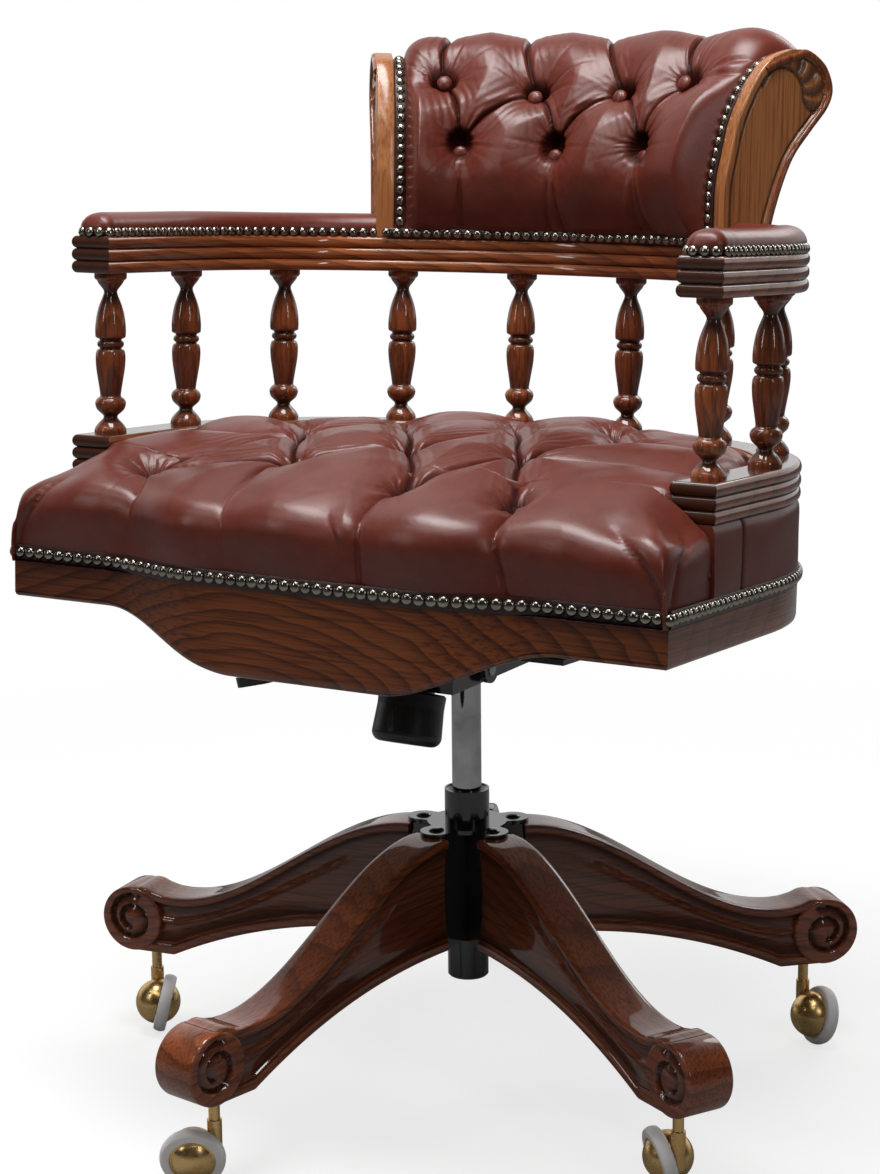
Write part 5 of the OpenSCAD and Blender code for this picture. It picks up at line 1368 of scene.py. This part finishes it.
def inset_loop(loop, amount):
    """A closed outline moved inwards."""
    ahead, behind = np.roll(loop, -1, axis=0), np.roll(loop, 1, axis=0)
    e1 = (loop - behind) / np.maximum(np.linalg.norm(loop - behind, axis=1)[:, None], 1e-6)
    e2 = (ahead - loop) / np.maximum(np.linalg.norm(ahead - loop, axis=1)[:, None], 1e-6)
    n = np.stack([(e1 + e2)[:, 1], -(e1 + e2)[:, 0]], 1)
    n /= np.maximum(np.linalg.norm(n, axis=1)[:, None], 1e-6)
    area = 0.5 * np.sum(loop[:, 0] * ahead[:, 1] - loop[:, 1] * ahead[:, 0])
    return loop + n * amount * (-1 if area > 0 else 1)


def on_wing(across, x, z, side):
    """Points of the wing's own board: `across` is 0 on its outer face, negative inwards."""
    c, s = math.cos(WING), math.sin(WING)
    r = BACK_R + x
    return xyz(side * (across * c + r * s), BACK_Y - across * s + r * c, PAD_Z + z * BACK_SCALE)


def wing_grain(x, z, across, side):
    """Where a point of the wing lies in its plank; each wing is cut from a part of its own."""
    return xyz(z + 260, x - 75 * side, across) / 1000


outline = np.concatenate([smooth_curve(FRONT_LINE, 50), smooth_curve(REAR_LINE, 80)])
# how far each layer of the board is inset, and how deep it lies
layers = [(2.2, -WING_T), (0.7, -WING_T + 0.5), (0, -WING_T + 1.8), (0, -2.4), (0.7, -1.3), (2.2, -0.9),
          (6.6, -3.6)]
bead_line = smooth_curve([(20, 168), (36, 176.5), (50, 180.5)] + REAR_LINE, 110)[:-3]


def way_to(points, line):
    """Distance from points to a drawn line."""
    best = np.full(len(points), FAR)
    for a, b in zip(line[:-1], line[1:]):
        t = np.clip(((points - a) @ (b - a)) / max(float((b - a) @ (b - a)), 1e-9), 0, 1)
        best = np.minimum(best, np.linalg.norm(points - a - t[:, None] * (b - a), axis=1))
    return best


def wing_face():
    """The carved outer face: a raised rim, a sunk panel, and a leaf between a groove and the rim."""
    lower, upper = smooth_curve(FRONT_LINE, 150), smooth_curve(REAR_LINE, 150)[::-1]
    share = np.concatenate([[0, 0.012], np.linspace(0.03, 0.97, 74), [0.988, 1]])
    grid = lower[:, None] + (upper - lower)[:, None] * share[None, :, None]
    flat_grid = grid.reshape(-1, 2)
    edge = np.minimum(way_to(flat_grid, lower), way_to(flat_grid, upper))
    edge = np.minimum(edge, way_to(flat_grid, np.array([lower[-1], upper[-1]])))
    groove = smooth_curve(LEAF_LINE, 60)
    leaf_side = way_to(flat_grid, groove)
    middle = np.array([46.0, 138.0])
    turn = np.degrees(np.arctan2(flat_grid[:, 1] - middle[1], flat_grid[:, 0] - middle[0]))
    reach = np.linalg.norm(flat_grid - middle, axis=1)
    line_reach = np.linalg.norm(groove - middle, axis=1)
    line_turn = np.degrees(np.arctan2(groove[:, 1] - middle[1], groove[:, 0] - middle[0]))
    order = np.argsort(line_turn)
    outside_leaf = reach > np.interp(turn, line_turn[order], line_reach[order])
    leaf = outside_leaf & (turn > line_turn.min()) & (turn < line_turn.max()) & (edge > 7)
    off_rim = edge > 6
    lobes = 0.5 + 0.5 * np.cos(np.radians(turn * 13 + 30 * np.sin(reach / 4)))
    rounded = np.clip((edge - 7) / 3, 0, 1) * np.clip(leaf_side / 3, 0, 1)
    relief = -1.7 * ease((edge - 6.2) / 1.6) - 1.6 * bell(edge - 8.6, 1.0)
    relief = np.where(leaf, -2.4 + 2.6 * lobes * rounded, relief) - 1.8 * bell(leaf_side, 1.3) * off_rim
    # glaze and painted shade: darker in the groove inside the rim, along the leaf's groove and between the leaf's
    # lobes
    dark = 0.8 * bell(edge - 8.6, 1.5) + 0.9 * bell(leaf_side, 1.9) * off_rim
    dark = np.where(leaf, np.maximum(dark, 0.72 - 0.4 * lobes), dark)
    relief = np.where(edge < 0.4, -1.2, relief)
    return grid.shape[:2], flat_grid, relief, np.clip(dark, 0, 0.95)


def rim(n, m):
    """The points round the edge of a sheet of n rows and m columns, in order."""
    number = np.arange(n * m).reshape(n, m)
    return np.concatenate([number[0], number[1:, -1], number[-1, -2::-1], number[-2:0:-1, 0]])


face_size, face_at, face_relief, face_dark = wing_face()
face_rim = rim(*face_size)
under_rim = len(face_at) + np.arange(len(face_rim))
face_faces = sheet(*face_size)
face_faces += np.stack([face_rim, under_rim, np.roll(under_rim, -1), np.roll(face_rim, -1)], 1).tolist()
for name, side in SIDES:
    rows, grain = [], []
    for amount, across in layers:
        x, z = inset_loop(outline, amount).T
        rows.append(on_wing(across, x, z, side))
        grain.append(wing_grain(x, z, across, side))
    piece("wing_board_" + name, np.concatenate(rows), tube(len(rows), len(outline)), light_wood,
          instead_of=("wing_" + name,), sharp=38, grain=np.concatenate(grain))
    x, z = face_at.T
    carved, skirt = on_wing(face_relief + 0.2, x, z, side), on_wing(np.full(len(x), -2.2), x, z, side)
    grain = wing_grain(x, z, 0, side)
    piece("wing_carving_" + name, np.concatenate([carved, skirt[face_rim]]), face_faces, light_wood, sharp=60,
          grain=np.concatenate([grain, grain[face_rim]]), glaze=np.concatenate([face_dark, face_dark[face_rim]]))
    # a bead: a half round that follows the rear edge, thick at the scroll and thin at the foot
    tangent = unit(np.gradient(bead_line, axis=0))
    inner = np.stack([tangent[:, 1], -tangent[:, 0]], 1)
    share = np.linspace(0, 1, len(bead_line))
    width = 7.5 - 2.0 * share
    bead_rows = []
    for turn in np.linspace(0, np.pi, 9):
        shift = (0.5 + 0.5 * math.cos(turn)) * width - 0.2
        lift = 3.4 * math.sin(turn) - 0.4
        bead_rows.append(on_wing(lift, *(bead_line + inner * shift[:, None]).T, side))
    n, m = len(bead_rows), len(bead_line)
    bead_faces = sheet(n, m) + [[i * m for i in range(n)], [i * m + m - 1 for i in range(n)][::-1]]
    bead_faces += [[i, i + 1, (n - 1) * m + i + 1, (n - 1) * m + i] for i in range(m - 1)]
    bead = np.concatenate(bead_rows)
    piece("wing_bead_" + name, bead, bead_faces, dark_wood, sharp=60,
          grain=xyz(np.tile(share * 0.4, n), bead[:, 0] / 1000, bead[:, 1] / 1000))
print("wing outline:", len(outline), "points")

# %% [markdown]
# ## Last measurements
# The box of the dressed chair is measured and printed. The dressed chair must stay
# within the CAD model's box, give or take the thickness of the padding.

# %% Measure the dressed chair
low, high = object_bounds()
print("dressed box", [round(v, 3) for v in low], [round(v, 3) for v in high])
